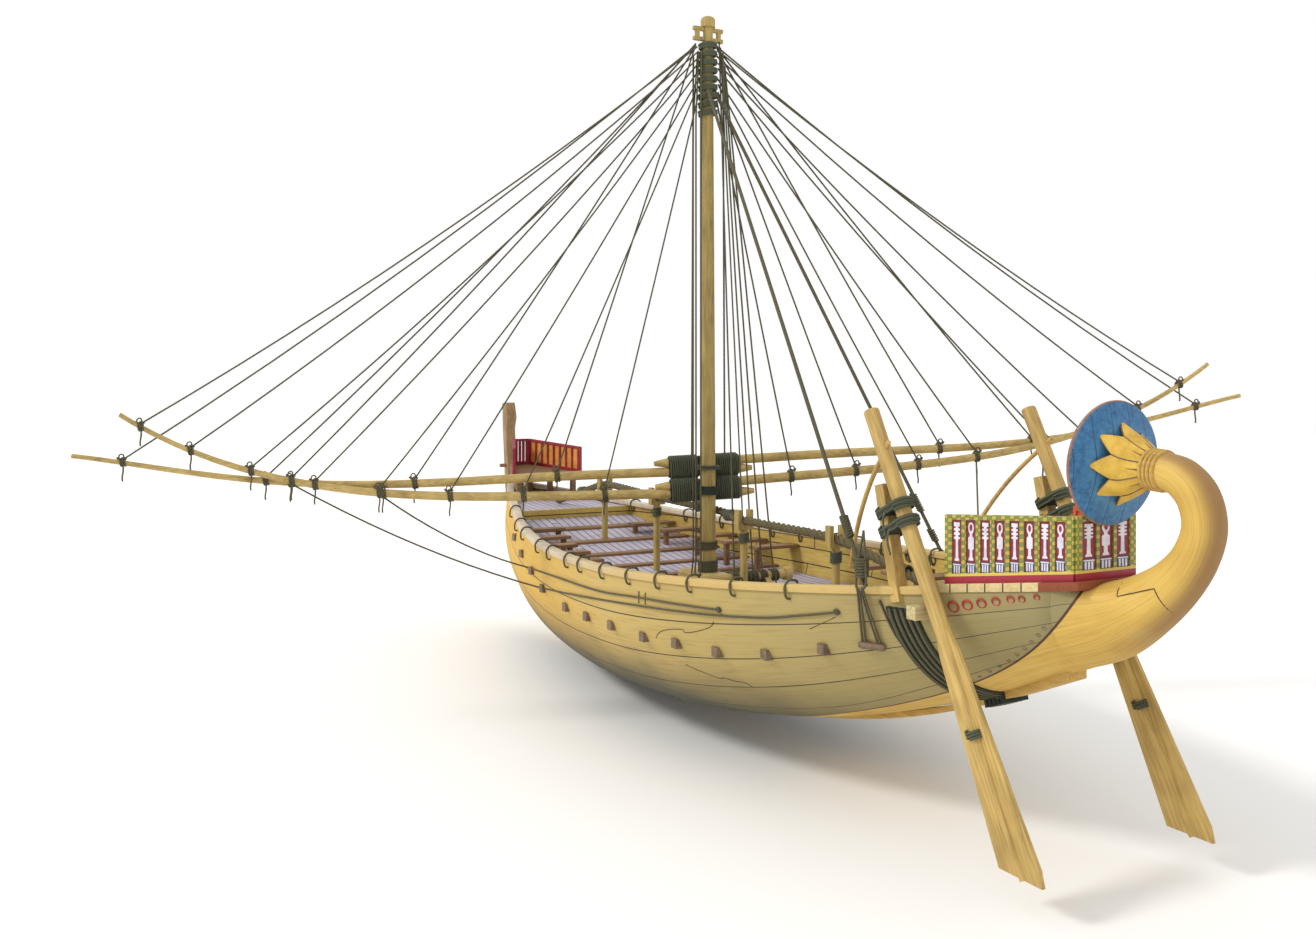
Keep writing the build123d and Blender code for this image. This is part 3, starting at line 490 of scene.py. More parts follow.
def sideArc(x, inset=0.0):
    # Centre, radius and end angles of the section's side at x.
    half, top, low = (hullAt(x, c) for c in (1, 2, 3))
    half = max(0.03, half - inset)
    keel = min(hull["keelHalf"], half * 0.5)
    p = (keel, low + inset)
    q = (half * hull["bilgeOut"], low + (top - low) * hull["bilgeUp"] + inset * 0.7)
    r = (half, top)
    d = 2 * (p[0] * (q[1] - r[1]) + q[0] * (r[1] - p[1]) + r[0] * (p[1] - q[1]))
    s = [a * a + b * b for a, b in (p, q, r)]
    cy = (s[0] * (q[1] - r[1]) + s[1] * (r[1] - p[1]) + s[2] * (p[1] - q[1])) / d
    cz = (s[0] * (r[0] - q[0]) + s[1] * (p[0] - r[0]) + s[2] * (q[0] - p[0])) / d
    radius = math.hypot(p[0] - cy, p[1] - cz)
    return cy, cz, radius, math.atan2(p[1] - cz, p[0] - cy), math.atan2(r[1] - cz, r[0] - cy)


def sideY(x, z, inset=0.0):
    cy, cz, radius, _, _ = sideArc(x, inset)
    return cy + math.sqrt(max(0.0, radius**2 - (z - cz) ** 2))


def sheer(x):
    return hullAt(x, 2)


def deckZ(x):
    return 0.65 + 0.75 * (x / 5.95) ** 2


def buildHull():
    bm = bmesh.new()
    first, last = hull["rows"][0][0], hull["rows"][-1][0]
    for sign in (1, -1):
        rings, maps = [], []
        for station in range(hull["stations"] + 1):
            x = first + (last - first) * station / hull["stations"]
            cy, cz, radius, low, high = sideArc(x)
            ring, spots = [], []
            for index in range(hull["girth"] + 1):
                share = index / hull["girth"]
                a = high + (low - high) * share
                ring.append((x, sign * (cy + radius * math.cos(a)), cz + radius * math.sin(a)))
                spots.append((x, share + (0 if sign > 0 else 0.03)))
            rings.append(ring)
            maps.append(spots)
        loftRings(bm, rings, maps)
    keel = hull["keelHalf"] + 1e-4
    low = [e for e in bm.edges if e.is_boundary and max(abs(v.co.y) for v in e.verts) < keel]
    bmesh.ops.bridge_loops(bm, edges=[e for e in low if abs(e.verts[0].co.x - e.verts[1].co.x) > 1e-5])
    bmesh.ops.remove_doubles(bm, verts=bm.verts[:], dist=1e-4)
    aft = sorted((v for v in bm.verts if v.co.x < first + 1e-4), key=lambda v: math.atan2(v.co.y, v.co.z - 1.9))
    bm.faces.new(aft)
    return piece("hullSkin", bm, hullWood, replaces=("hull_core",))


bulwark = {"from": -8.5, "run": 17.7, "stations": 60, "rows": 6, "inset": 0.02, "endDeck": 5.9, "endDepth": 0.22}


def buildBulwarks():
    # The wall above the deck: outer face, top and inner face in one closed skin.
    for side, sign in sides:
        bm = bmesh.new()
        rings = []
        for station in range(bulwark["stations"] + 1):
            x = bulwark["from"] + bulwark["run"] * station / bulwark["stations"]
            top = sheer(x)
            foot = max(deckZ(x) - 0.05, 0.6) if abs(x) < bulwark["endDeck"] else top - bulwark["endDepth"]
            low = min(top - 0.06, foot)
            outer, inner = [], []
            for index in range(bulwark["rows"] + 1):
                z = top + (low - top) * index / bulwark["rows"]
                outer.append((x, sign * (sideY(x, z) - bulwark["inset"]), z))
                inner.append((x, sign * max(0.02, sideY(x, z, hull["wall"])), z))
            rings.append(outer + inner[::-1])
        loftRings(bm, rings, closed=True)
        closeEnds(bm)
        piece(f"bulwark.{side}", bm, innerWood, replaces=(f"bulwark_{side}",))


cap = {"thick": 0.062, "over": 0.035, "from": -7.34, "to": 9.2, "round": 0.022, "stations": 80, "under": 0.035}


def buildCaps():
    for side, sign in sides:
        bm = bmesh.new()
        rings = []
        for station in range(cap["stations"] + 1):
            x = cap["from"] + (cap["to"] - cap["from"]) * station / cap["stations"]
            half, top = hullAt(x, 1), sheer(x)
            out, into = half + cap["over"], max(0.006, half - hull["wall"] - cap["over"])
            high, low, r = top + cap["thick"], top - cap["under"], cap["round"]
            profile = [(out, low), (out, high - r), (out - 0.3 * r, high - 0.3 * r), (out - r, high), (into + r, high),
                       (into + 0.3 * r, high - 0.3 * r), (into, high - r), (into, low)]
            rings.append([(x, sign * y, z) for y, z in profile])
        loftRings(bm, rings, closed=True)
        closeEnds(bm)
        sharpen(piece(f"gunwaleCap.{side}", bm, capWood, replaces=(f"gunwale_cap_{side}",)), 50)


print("hull")
buildHull()
buildBulwarks()
buildCaps()
softened("keelPlank", "keel_plank", postWood, 0.012)
softened("stemPost", "stem_post", stemWood, 0.018)
softened("stemPeg", "stem_peg", beamWood, 0.01)
softened("deckBeams", "deck_beams", beamWood)
softened("foreBulkhead", "fore_bulkhead", innerWood)
for side, _ in sides:
    softened(f"benches.{side}", f"benches_{side}", beamWood)
    softened(f"beamEnds.{side}", f"beam_ends_{side}", blockWood, 0.012)
    softened(f"oarBeam.{side}", f"oar_beam_{side}", paleWood, 0.012)
    softened(f"stanchion.{side}", f"stanchion_{side}", oarWood, 0.014)


# Sternpost and lotus.
post = {
    "rows": [  # x, z, depth, breadth, heading
        (-8.7, 1.575, 0.95, 1.24, 0), (-9.12, 1.745, 0.85, 0.86, 22), (-9.48, 1.95, 0.70, 0.64, 33),
        (-9.83, 2.22, 0.57, 0.50, 45), (-10.08, 2.52, 0.49, 0.44, 62), (-10.205, 2.86, 0.465, 0.42, 87),
        (-10.14, 3.17, 0.46, 0.42, 118), (-9.95, 3.365, 0.44, 0.41, 150), (-9.74, 3.43, 0.41, 0.40, 176)],
    "steps": 6, "round": 36, "join": -8.7, "middle": 1.575, "change": 0.85,  # metres over which the section changes
}


def hullReach(angle):
    # How far the hull's end section reaches from its middle at an angle from straight up, and the planks' map there.
    cy, cz, radius, low, high = sideArc(post["join"])
    _, _, top, bottom = hull["rows"][0]
    turns = [high + (low - high) * i / 24 for i in range(25)]
    outline = [(0.0, top)] + [(cy + radius * math.cos(a), cz + radius * math.sin(a)) for a in turns] + [(0.0, bottom)]
    dy, dz = math.sin(angle), math.cos(angle)
    reach, plank = (top - bottom) / 2, -0.3 if angle < 1 else 1.02
    for number, ((y0, z0), (y1, z1)) in enumerate(zip(outline, outline[1:])):
        z0, z1 = z0 - post["middle"], z1 - post["middle"]
        across = dy * (z1 - z0) - dz * (y1 - y0)
        if abs(across) < 1e-9:
            continue
        share = (dz * y0 - dy * z0) / across
        if -0.001 <= share <= 1.001:
            y, z = y0 + (y1 - y0) * share, z0 + (z1 - z0) * share
            if y * dy + z * dz > 0:
                reach = math.hypot(y, z)
                plank = (share - 1) * 0.3 if number == 0 else min(1.02, (number - 1 + share) / 24)
    return reach, plank


def postCourse():
    # Middles of the post's sections, and their depth, breadth and heading.
    middles = smoothLine([(r[0], 0, r[1]) for r in post["rows"]], post["steps"])
    return middles, smoothLine([r[2:] for r in post["rows"]], post["steps"])


def upAt(heading):
    return Vector((math.sin(math.radians(heading)), 0, math.cos(math.radians(heading))))


def buildSternpost():
    # The hull's end section turns into the round post over the first metre.
    bm = bmesh.new()
    lines, sizes = postCourse()
    _, _, depth, breadth, _ = post["rows"][0]
    corner = math.atan2(breadth / 2, depth / 2)
    angles = sorted([step / post["round"] * tau for step in range(post["round"])] + [corner, tau - corner])
    reaches = [hullReach(min(a, tau - a)) for a in angles]
    rings, maps, run = [], [], 0.0
    for index, (centre, size) in enumerate(zip(lines, sizes)):
        up = upAt(size.z)
        run += (centre - lines[max(0, index - 1)]).length
        share = min(1.0, run / post["change"])
        share = share * share * (3 - 2 * share)
        ring, spots = [], []
        for a, (reach, plank) in zip(angles, reaches):
            rise = math.cos(a) * (size.x / 2 * share + reach * size.x / depth * (1 - share))
            out = math.sin(a) * (size.y / 2 * share + reach * size.y / breadth * (1 - share))
            ring.append(centre + up * rise + Vector((0, out, 0)))
            spots.append((post["join"] - run, plank))
        rings.append(ring)
        maps.append(spots)
    loftRings(bm, rings, maps, closed=True)
    closeEnds(bm)
    shell = shellFinish("sternpostShell", edge=True)
    sharpen(piece("sternpost", bm, shell, replaces=("sternpost",)), 60)


def postSide(x, z, sign):
    # Point on the side of the sternpost at x and z.
    point = Vector((x, 0, z))
    middle, size = min(zip(*postCourse()), key=lambda pair: (pair[0] - point).length)
    up = upAt(size.z)
    rise = (point - middle).dot(up)
    off = max(-0.94, min(0.94, rise / (size.x / 2)))
    return point + up * (off * size.x / 2 - rise) + Vector((0, sign * size.y / 2 * math.sqrt(1 - off * off), 0))


neckEnd = post["rows"][-1]
neckHeading = math.radians(neckEnd[4])
neckAxis = Vector((-math.cos(neckHeading), 0, math.sin(neckHeading)))
neckSide = neckAxis.cross(Vector((0, 1, 0)))
neckPlace = Matrix.Translation((neckEnd[0], 0, neckEnd[1])) @ Matrix(
    ((0, neckSide.x, neckAxis.x), (1, neckSide.y, neckAxis.y), (0, neckSide.z, neckAxis.z))
).to_4x4()
lotus = {
    "neck": 0.21, "neckRings": 4, "core": 0.19, "ring": 0.235, "petals": 8, "petalLength": 0.455, "tip": 0.465,
    "petalHalf": 0.165, "petalFoot": 0.07, "widest": 0.42, "flare": 0.175, "thick": 0.026,
    "disc": 0.695, "discAt": 0.56, "dome": 0.13, "rim": 0.06, "calyx": ((0.188, 0.21), (0.165, 0.4), (0.15, 0.58)),
    "tipLine": 0.015, "valleyLine": 0.009, "crease": 0.011,
}


def spinProfile(bm, profile, steps=64):
    verts = [bm.verts.new((r, 0, z)) for r, z in profile]
    edges = [bm.edges.new(pair) for pair in zip(verts, verts[1:])]
    bmesh.ops.spin(bm, geom=verts + edges, cent=(0, 0, 0), axis=(0, 0, 1), angle=tau, steps=steps, use_merge=True)
    bmesh.ops.remove_doubles(bm, verts=bm.verts[:], dist=1e-5)


def petalSpot(s, w):
    # Point of the petal that faces x, s along its length and w across it.
    foot, widest, start = lotus["petalFoot"], lotus["widest"], lotus["flare"]
    half = foot + (lotus["petalHalf"] - foot) * math.sin(min(1, s / widest) * math.pi / 2)
    if s > widest:
        half *= max(0.015, 1 - ((s - widest) / (1 - widest)) ** 1.12)
    flare = start + (lotus["tip"] - start) * (s**1.35)
    belly = (1 - w * w) * 0.035 * math.sin(math.pi * min(1, s * 1.1))
    ridge = 0.012 * max(0.0, 1 - abs(w) * 5) * (1 - s)
    z = lotus["neck"] - 0.01 + lotus["petalLength"] * s
    return Vector((flare + belly + ridge - 0.25 * (half * w) ** 2 / max(flare, 0.1), half * w, z))


def petalLines():
    # Dark lines round each petal's tip, in the valleys between petals and up from the neck.
    bm = bmesh.new()
    lift, lean = lotus["thick"], math.tan(math.pi / lotus["petals"])
    for number in range(lotus["petals"]):
        spin = Matrix.Rotation(number / lotus["petals"] * tau, 3, "Z")
        tip, valley = [], []
        for step in range(31):
            spot = petalSpot(step / 30, 1)
            if spot.y > spot.x * lean:
                meet = petalSpot(step / 30, spot.x * lean / spot.y)
                valley.append(spin @ (meet + Vector((lift, lift * lean, 0))))
            else:
                tip.append(spot + Vector((lift / 2, 0, 0)))
        back = [Vector((p.x, -p.y, p.z)) for p in tip[-2::-1]]
        tube(bm, [spin @ p for p in tip + back], lotus["tipLine"])
        tube(bm, valley, lotus["valleyLine"])
        crease = [spin @ (petalSpot(step / 30, 0) + Vector((lift, 0, 0))) for step in range(13)]
        tube(bm, crease, lotus["crease"], radii=[1 - step * 0.07 for step in range(13)])
    bm.transform(neckPlace)
    piece("petalLines", bm, blockWood)


def buildLotus():
    bm = bmesh.new()
    profile = [(0.0, 0.0)]
    pitch, swell = lotus["neck"] / lotus["neckRings"], lotus["ring"] - lotus["core"]
    for ring in range(lotus["neckRings"]):
        for step in range(9):
            a = math.pi * step / 8
            profile.append((lotus["core"] + swell * math.sin(a), pitch * (ring + (1 - math.cos(a)) / 2)))
    profile.append((0.0, lotus["neck"]))
    spinProfile(bm, profile)
    bm.transform(neckPlace)
    sharpen(piece("neckRings", bm, postWood, replaces=("neck_rings",)), 60)

    bm = bmesh.new()
    radius, dome, at, rim = lotus["disc"], lotus["dome"], lotus["discAt"], lotus["rim"]
    ball = (radius**2 + dome**2) / (2 * dome)
    profile = [(0.0, at)]
    for step in range(1, 15):
        r = radius * step / 14
        profile.append((r, at + ball - math.sqrt(ball**2 - r**2)))
    profile += [(radius, at + dome + rim), (radius - 0.03, at + dome + rim), (0.0, at + dome + rim - 0.012)]
    spinProfile(bm, profile, 72)
    bm.transform(neckPlace)
    sharpen(piece("lotusDisc", bm, lotusBlue, replaces=("lotus_disc",)), 40)

    bm = bmesh.new()
    edge, size = [], radius - 0.004
    for step in range(96):
        a = step / 96 * tau
        edge.append(neckPlace @ Vector((math.cos(a) * size, math.sin(a) * size, at + dome + rim / 2)))
    tube(bm, edge, rim * 0.36, 8, cyclic=True)
    piece("discRim", bm, rimWood)

    bm = bmesh.new()
    lengthSteps, widthSteps = 12, 8
    for number in range(lotus["petals"]):
        rows, widths = range(lengthSteps + 1), [j / widthSteps * 2 - 1 for j in range(widthSteps + 1)]
        start = len(bm.verts)
        loftRings(bm, [[petalSpot(i / lengthSteps, w) for w in widths] for i in rows])
        bm.verts.ensure_lookup_table()
        spin = Matrix.Rotation(number / lotus["petals"] * tau, 3, "Z")
        bmesh.ops.rotate(bm, verts=bm.verts[start:], cent=(0, 0, 0), matrix=spin)
    petalLines()
    bmesh.ops.recalc_face_normals(bm, faces=bm.faces[:])
    bmesh.ops.solidify(bm, geom=bm.faces[:], thickness=lotus["thick"])
    spinProfile(bm, [(0.0, lotus["neck"] - 0.002), *lotus["calyx"], (0.0, lotus["discAt"] + 0.02)], 48)
    bm.transform(neckPlace)
    sharpen(piece("lotusPetals", bm, goldPaint, replaces=("lotus_petals",)), 45)


print("stern")
buildSternpost()
buildLotus()


# Plain copies of CAD pieces.
def kept(name, node, material, body="hull", angle=38):
    # A copy with its doubles merged, shaded smooth up to the angle.
    bm = bmesh.new()
    bm.from_mesh(nodes[node].data)
    bmesh.ops.remove_doubles(bm, verts=bm.verts[:], dist=1e-4)
    return sharpen(piece(name, bm, material, body, replaces=(node,), recalc=False), angle)


print("timber")
lashingCore = paintFinish("lashingCore", "2b3528", "141a14", 0.8)
platformWood = woodFinish(
    "platformWood", "d8c590", "b59c66", grain="y", board=0.2, across="x", tail=(-8.58, "8f4a28", "5a2c18", 0.005)
)
for name, node, material in (
    ("mast", "mast", mastWood), ("mastTruck", "mast_truck", mastWood), ("belayingLog", "belaying_beam", sparWood),
    ("trussPosts", "truss_posts", mastWood), ("boomLashing", "boom_seizing", lashingCore),
    ("sternGirdle", "stern_girdle", lashingCore), ("boom.port", "boom_port", sparWood),
    ("boom.starboard", "boom_starboard", sparWood), ("mainDeck", "main_deck", deckWood),
    ("foreDeck", "foredeck", deckWood), ("aftDeck", "aft_deck", deckWood),
):
    kept(name, node, material)
kept("yard.port", "yard_port", sparWood, "upper_yard")
kept("yard.starboard", "yard_starboard", sparWood, "upper_yard")
kept("yardLashing", "yard_seizing", lashingCore, "upper_yard")
for side, _ in sides:
    body = f"steering_oar_{side}"
    kept(f"oarLoom.{side}", f"oar_loom_{side}", oarWood, body)
    softened(f"oarBlade.{side}", f"oar_blade_{side}", oarWood, 0.01, body)
    kept(f"oarTiller.{side}", f"oar_tiller_{side}", oarWood, body)
    kept(f"oarSeizingCore.{side}", f"oar_seizings_{side}", lashingCore)
for name, node, material, width in (
    ("mastheadFrame", "masthead_frame", mastWood, 0.008), ("mastStep", "mast_step", sparWood, 0.012),
    ("belayingKnees", "belaying_knees", sparWood, 0.01), ("sternPlatform", "stern_platform", platformWood, 0.008),
    ("sternBrackets", "stern_brackets", sparWood, 0.01), ("forecastleFloor", "forecastle_floor", beamWood, 0.008),
    ("forecastleBearers", "forecastle_bearers", beamWood, 0.008),
):
    softened(name, node, material, width)
softened("forecastleFrame", "forecastle_frame", crimsonPaint, 0.004)
kept("forecastlePanels", "forecastle_panels", orangePaint)


# Stern castle.
castle = {
    "fore": (-7.48, 1.08), "aft": (-8.9, 0.47), "height": (0.83, 0.73), "middleX": -7.95,
    "platform": (1.965, 2.173), "platformX": (-7.36, -9.0), "bottomRail": 0.12, "topRail": 0.06, "bar": 0.055,
    "wall": 0.07, "side": 8, "end": 3, "figure": 0.009, "square": (0.055, 0.046),
    "green": "5c8040", "yellow": "bfae45", "lines": "4c4420", "band": "a31d3c", "edge": "d7c25a",
    "red": ("7a1a34", "96263c"), "inside": "c8552f", "wear": "6d4a26",
}


def platformZ(x):
    (z0, z1), (x0, x1) = castle["platform"], castle["platformX"]
    return z0 + (z1 - z0) * (x - x0) / (x1 - x0)


def castleFinish(name, outside):
    # Outside paint, a crimson base band, and the plain inside walls, told apart by place.
    finish = Finish(name, 0.5)
    x, y, z = finish.axes()
    (foreX, foreY), (aftX, aftY) = castle["fore"], castle["aft"]
    (z0, z1), (x0, x1) = castle["platform"], castle["platformX"]
    aftWall = (x < aftX + 0.036) * (y.size() < aftY - 0.01)
    slope = (foreY - aftY) / (foreX - aftX)
    inSide = (y.size() < (x - foreX) * slope + (foreY - 0.012)) * (x > aftX + 0.012)
    above = z - (x - x0) * ((z1 - z0) / (x1 - x0)) - z0
    wear = finish.noise(finish.place(), 35.0, 3.0)
    if outside == "chequer":
        run = (x * 1.0884 * (1 - aftWall) + y * aftWall) / castle["square"][0]
        up = above / castle["square"][1]
        block = ((run.whole() + up.whole()) / 2).part() > 0.25
        lines = run.edge().step(0.84, 0.94).atLeast(up.edge().step(0.84, 0.94))
        colour = finish.blend(block * 0.85, tone(castle["yellow"]), tone(castle["green"]))
        colour = finish.blend(lines * 0.7, colour, tone(castle["lines"]))
        rail = castle["bottomRail"]
        colour = finish.blend(above < rail - 0.03, colour, tone(castle["band"]))
        colour = finish.blend((above < rail) * (above > rail - 0.034), colour, tone(castle["edge"]))
    else:
        colour = finish.ramp(wear, (0.3, tone(castle["red"][0])), (0.7, tone(castle["red"][1])))
    colour = finish.blend(inSide, colour, tone(castle["inside"]))
    colour = finish.blend(wear * 0.3, colour, tone(castle["wear"]))
    finish.feed("Base Color", colour)
    finish.bump(wear, 0.25, 0.002)
    return finish.material


print("stern castle")
framePaint, panelPaint = castleFinish("sternCastleFrame", "chequer"), castleFinish("sternCastlePanels", "red")
softened("sternCastleFrame", "stern_castle_frame", framePaint, 0.004)
kept("sternCastlePanels", "stern_castle_panels", panelPaint)

figures = {  # outlines in shares of the figure's half width and height, right half from the bottom up
    "djed": [(0.62, 0.0), (0.62, 0.05), (0.36, 0.08), (0.30, 0.5), (0.34, 0.56), (0.8, 0.57), (0.8, 0.62),
             (0.36, 0.63), (0.36, 0.67), (0.8, 0.68), (0.8, 0.73), (0.36, 0.74), (0.36, 0.78), (0.8, 0.79),
             (0.8, 0.84), (0.36, 0.85), (0.36, 0.89), (0.8, 0.9), (0.8, 1.0)],
    "tyet": [(0.62, 0.0), (0.62, 0.05), (0.34, 0.1), (0.34, 0.28), (0.74, 0.31), (0.74, 0.6), (0.34, 0.64),
             (0.3, 0.7), (0.62, 0.76), (0.76, 0.86), (0.6, 0.96), (0.25, 1.0)],
    "eye": [(0.12, 0.0), (0.5, 0.3), (0.55, 0.6), (0.35, 0.9), (0.1, 1.0)],
    "bar": [(1.0, 0.0), (1.0, 1.0)],
}
panel = {  # heights from the bottom rail, and shares of a panel's half width
    "foot": 0.008, "gate": 0.115, "bars": (-0.6, 0.0, 0.6), "barWidth": 0.16, "barHeight": 0.085, "sill": (0.1, 0.014),
    "figureAt": 0.15, "figureShare": 0.95, "proud": 0.003, "eye": (0.77, 0.6, 0.13), "fill": 0.8,
}


def addFigure(bm, kind, low, right, out, halfWidth, height):
    outline = figures[kind] + [(-a, b) for a, b in figures[kind][::-1]]
    up = Vector((0, 0, 1))
    face = bm.faces.new([bm.verts.new(low + right * (a * halfWidth) + up * (b * height)) for a, b in outline])
    raised = bmesh.ops.extrude_face_region(bm, geom=[face])["geom"]
    bmesh.ops.translate(bm, verts=[v for v in raised if isinstance(v, bmesh.types.BMVert)], vec=out * castle["figure"])


def wallFigures(pale, blue, red, start, end, zLow, zHigh, count):
    # One tall figure over a small gate in each panel of a wall.
    run = Vector((end[0] - start[0], end[1] - start[1], 0))
    length = run.length
    run.normalize()
    up = Vector((0, 0, 1))
    out = run.cross(up)
    if out.dot(Vector((start[0] + end[0] - 2 * castle["middleX"], start[1] + end[1], 0))) < 0:
        out = -out
    first = castle["wall"] / 2 + castle["bar"]
    pitch = (length - 2 * first + castle["bar"]) / count
    half = (pitch - castle["bar"]) / 2 * panel["fill"]
    for index in range(count):
        u = first + index * pitch + (pitch - castle["bar"]) / 2
        share = u / length
        low = zLow[0] + share * (zLow[1] - zLow[0]) + castle["bottomRail"]
        high = zHigh[0] + share * (zHigh[1] - zHigh[0]) - castle["topRail"]
        tall = high - low - 0.18
        foot = Vector((start[0], start[1], low)) + run * u + out * 0.0152
        ground, front = foot + up * panel["foot"], out * panel["proud"]
        addFigure(blue, "bar", ground, run, out, half, panel["gate"])
        for shift in panel["bars"]:
            addFigure(pale, "bar", ground + run * (shift * half) + front, run, out, half * panel["barWidth"],
                      panel["barHeight"])
        addFigure(pale, "bar", foot + up * panel["sill"][0] + front, run, out, half, panel["sill"][1])
        kind, at = ("djed", "tyet")[index % 2], panel["figureAt"]
        addFigure(pale, kind, foot + up * at, run, out, half * panel["figureShare"], tall)
        if kind == "tyet":
            rise, wide, height = panel["eye"]
            eye = foot + up * (at + tall * rise) + out * 0.004
            addFigure(red, "eye", eye, run, out, half * wide, (high - low) * height)


def buildFigures():
    pale, blue, red = bmesh.new(), bmesh.new(), bmesh.new()
    (fx, fy), (ax, ay) = castle["fore"], castle["aft"]
    lows = (platformZ(fx), platformZ(ax))
    highs = (lows[0] + castle["height"][0], lows[1] + castle["height"][1])
    for _, sign in sides:
        wallFigures(pale, blue, red, (fx, sign * fy), (ax, sign * ay), lows, highs, castle["side"])
    wallFigures(pale, blue, red, (ax, ay), (ax, -ay), (lows[1], lows[1]), (highs[1], highs[1]), castle["end"])
    piece("castleFigures", pale, palePaint, smooth=False)
    piece("castleGates", blue, bluePaint, smooth=False)
    piece("castleEyes", red, redPaint, smooth=False)


buildFigures()


# Spars, ropes and knots.
print("ropes")
spars = {
    "brace": math.radians(18.5), "cant": math.radians(2.6), "root": 0.085,
    "boom": {"z": 2.48, "ahead": 0.255, "body": "hull", "port": (9.59, 8.81, 7.85, 6.81, 5.74, 4.54, 3.27, 1.83),
             "starboard": (1.61, 2.85, 4.06, 5.23, 6.6, 7.34, 8.55, 9.46)},
    "yard": {"z": 2.89, "ahead": 0.41, "body": "upper_yard", "port": (9.96, 7.66, 7.25, 5.16, 2.67),
             "starboard": (4.54, 6.4, 9.86)},
}
along = Vector((math.sin(spars["brace"]), math.cos(spars["brace"]), -math.tan(spars["cant"])))
ahead = Vector((math.cos(spars["brace"]), -math.sin(spars["brace"]), 0))
aloft, forward, abeam = Vector((0, 0, 1)), Vector((1, 0, 0)), Vector((0, 1, 0))


def sectionOf(node, point, normal):
    # Middle and radius of a CAD piece where a plane cuts it.
    bm = bmesh.new()
    bm.from_mesh(nodes[node].data)
    bmesh.ops.bisect_plane(
        bm, geom=bm.verts[:] + bm.edges[:] + bm.faces[:], plane_co=point, plane_no=normal,
        clear_inner=True, clear_outer=True
    )
    spots = [v.co.copy() for v in bm.verts]
    bm.free()
    low = Vector([min(p[i] for p in spots) for i in range(3)])
    high = Vector([max(p[i] for p in spots) for i in range(3)])
    middle = (low + high) / 2
    return middle, max((p - middle).length for p in spots)


def sparSpot(kind, side, t):
    # Middle and radius of a half-spar, t metres out from the mast.
    sign = 1 if side == "port" else -1
    guess = ahead * spars[kind]["ahead"] + aloft * spars[kind]["z"] + along * t * sign
    return sectionOf(f"{kind}_{side}", guess, along)


def sag(a, b, drop, count=8):
    a, b = Vector(a), Vector(b)
    return [a.lerp(b, i / count) - aloft * (drop * 4 * (i / count) * (1 - i / count)) for i in range(count + 1)]


def wind(bm, centre, axis, side, radius, turns, pitch, line, steps=14):
    # Turns of rope round something round.
    tube(bm, coil(centre, axis, side, radius, radius, turns, pitch, steps), line)


def ringOf(middle, first, second, radius, count):
    # Points of a closed ring in the plane of two directions.
    angles = [step / count * tau for step in range(count)]
    return [middle + first * (radius * math.cos(a)) + second * (radius * math.sin(a)) for a in angles]


knots = {
    "line": 0.017, "turns": 3, "bow": (0.04, 0.045), "bowAt": (0.03, 0.045),
    "over": ((-0.05, 0.02, 0), (0, 0, 0.03), (0.06, -0.02, 0), (0.1, 0, 0.035)),  # along, ahead, up
    "tail": ((0, 0.01), (0, -0.09), (0.015, -0.2), (0.01, -0.27)),  # along, up
}


def knot(bm, middle, radius, axis):
    # Turns round the spar, a crossing turn over them, a bow and a hanging end.
    line = knots["line"]
    wind(bm, middle, axis, ahead, radius + line * 0.6, knots["turns"], line * 2.0, line * 0.9, 12)
    top, foot = middle + aloft * (radius + line), middle - aloft * radius
    tube(bm, smoothLine([top + axis * a + ahead * b + aloft * c for a, b, c in knots["over"]], 4), line * 0.9)
    (wide, high), (outward, lift) = knots["bow"], knots["bowAt"]
    bow = []
    for step in range(12):
        a = step / 12 * tau
        bow.append(top + axis * (wide * math.cos(a) + outward) + aloft * (lift + high * math.sin(a)))
    tube(bm, bow, line * 0.75, cyclic=True)
    tube(bm, smoothLine([foot + axis * a + aloft * b for a, b in knots["tail"]], 4), line * 0.85)


lifts = {
    "line": 0.0155, "footOff": 0.0155, "longest": 9.6, "sag": 0.2,
    "boomHead": (0.03, 0.2, 9.3, 1.1), "boomLeast": 0.03,  # scatter, y, z and its rise over the spar
    "yardHead": (0.05, 0.22, 10.42, 0.02), "yardLeast": 0.02,  # x, y, z and its step
}


def buildLifts():
    # On the ship the yard's lifts shorten towards their heads as the yard goes up; here each yard lift is a piece of
    # its own with its own mesh.
    ties = {"boom": bmesh.new(), "yard": bmesh.new()}
    lines = bmesh.new()
    for kind in ties:
        for side, sign in sides:
            for index, t in enumerate(spars[kind][side]):
                middle, radius = sparSpot(kind, side, t)
                knot(ties[kind], middle, radius, along * sign)
                share = min(1, t / lifts["longest"])
                foot = middle + aloft * (radius + lifts["footOff"])
                if kind == "boom":
                    scatter, y, z, rise = lifts["boomHead"]
                    top = Vector((scatter * math.cos(index * 2.0), sign * y, z + rise * share))
                    tube(lines, sag(foot, top, lifts["boomLeast"] + lifts["sag"] * share * share, 12), lifts["line"])
                else:
                    x, y, z, rise = lifts["yardHead"]
                    top = Vector((x, sign * y, z + rise * (index % 3)))
                    bm = bmesh.new()
                    tube(bm, sag(foot, top, lifts["yardLeast"] + lifts["sag"] * share * share), lifts["line"])
                    made = piece(f"yardLift.{side}.{index}", bm, darkRope)
                    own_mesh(made)
    piece("boomLifts", lines, darkRope)
    piece("boomKnots", ties["boom"], darkRope)
    piece("yardKnots", ties["yard"], darkRope, "upper_yard")


buildLifts()
lap = {"at": 0.37, "turns": 13, "pitch": 0.04, "line": 0.018, "off": 0.031, "parrel": 0.197, "parrelStep": 0.02}


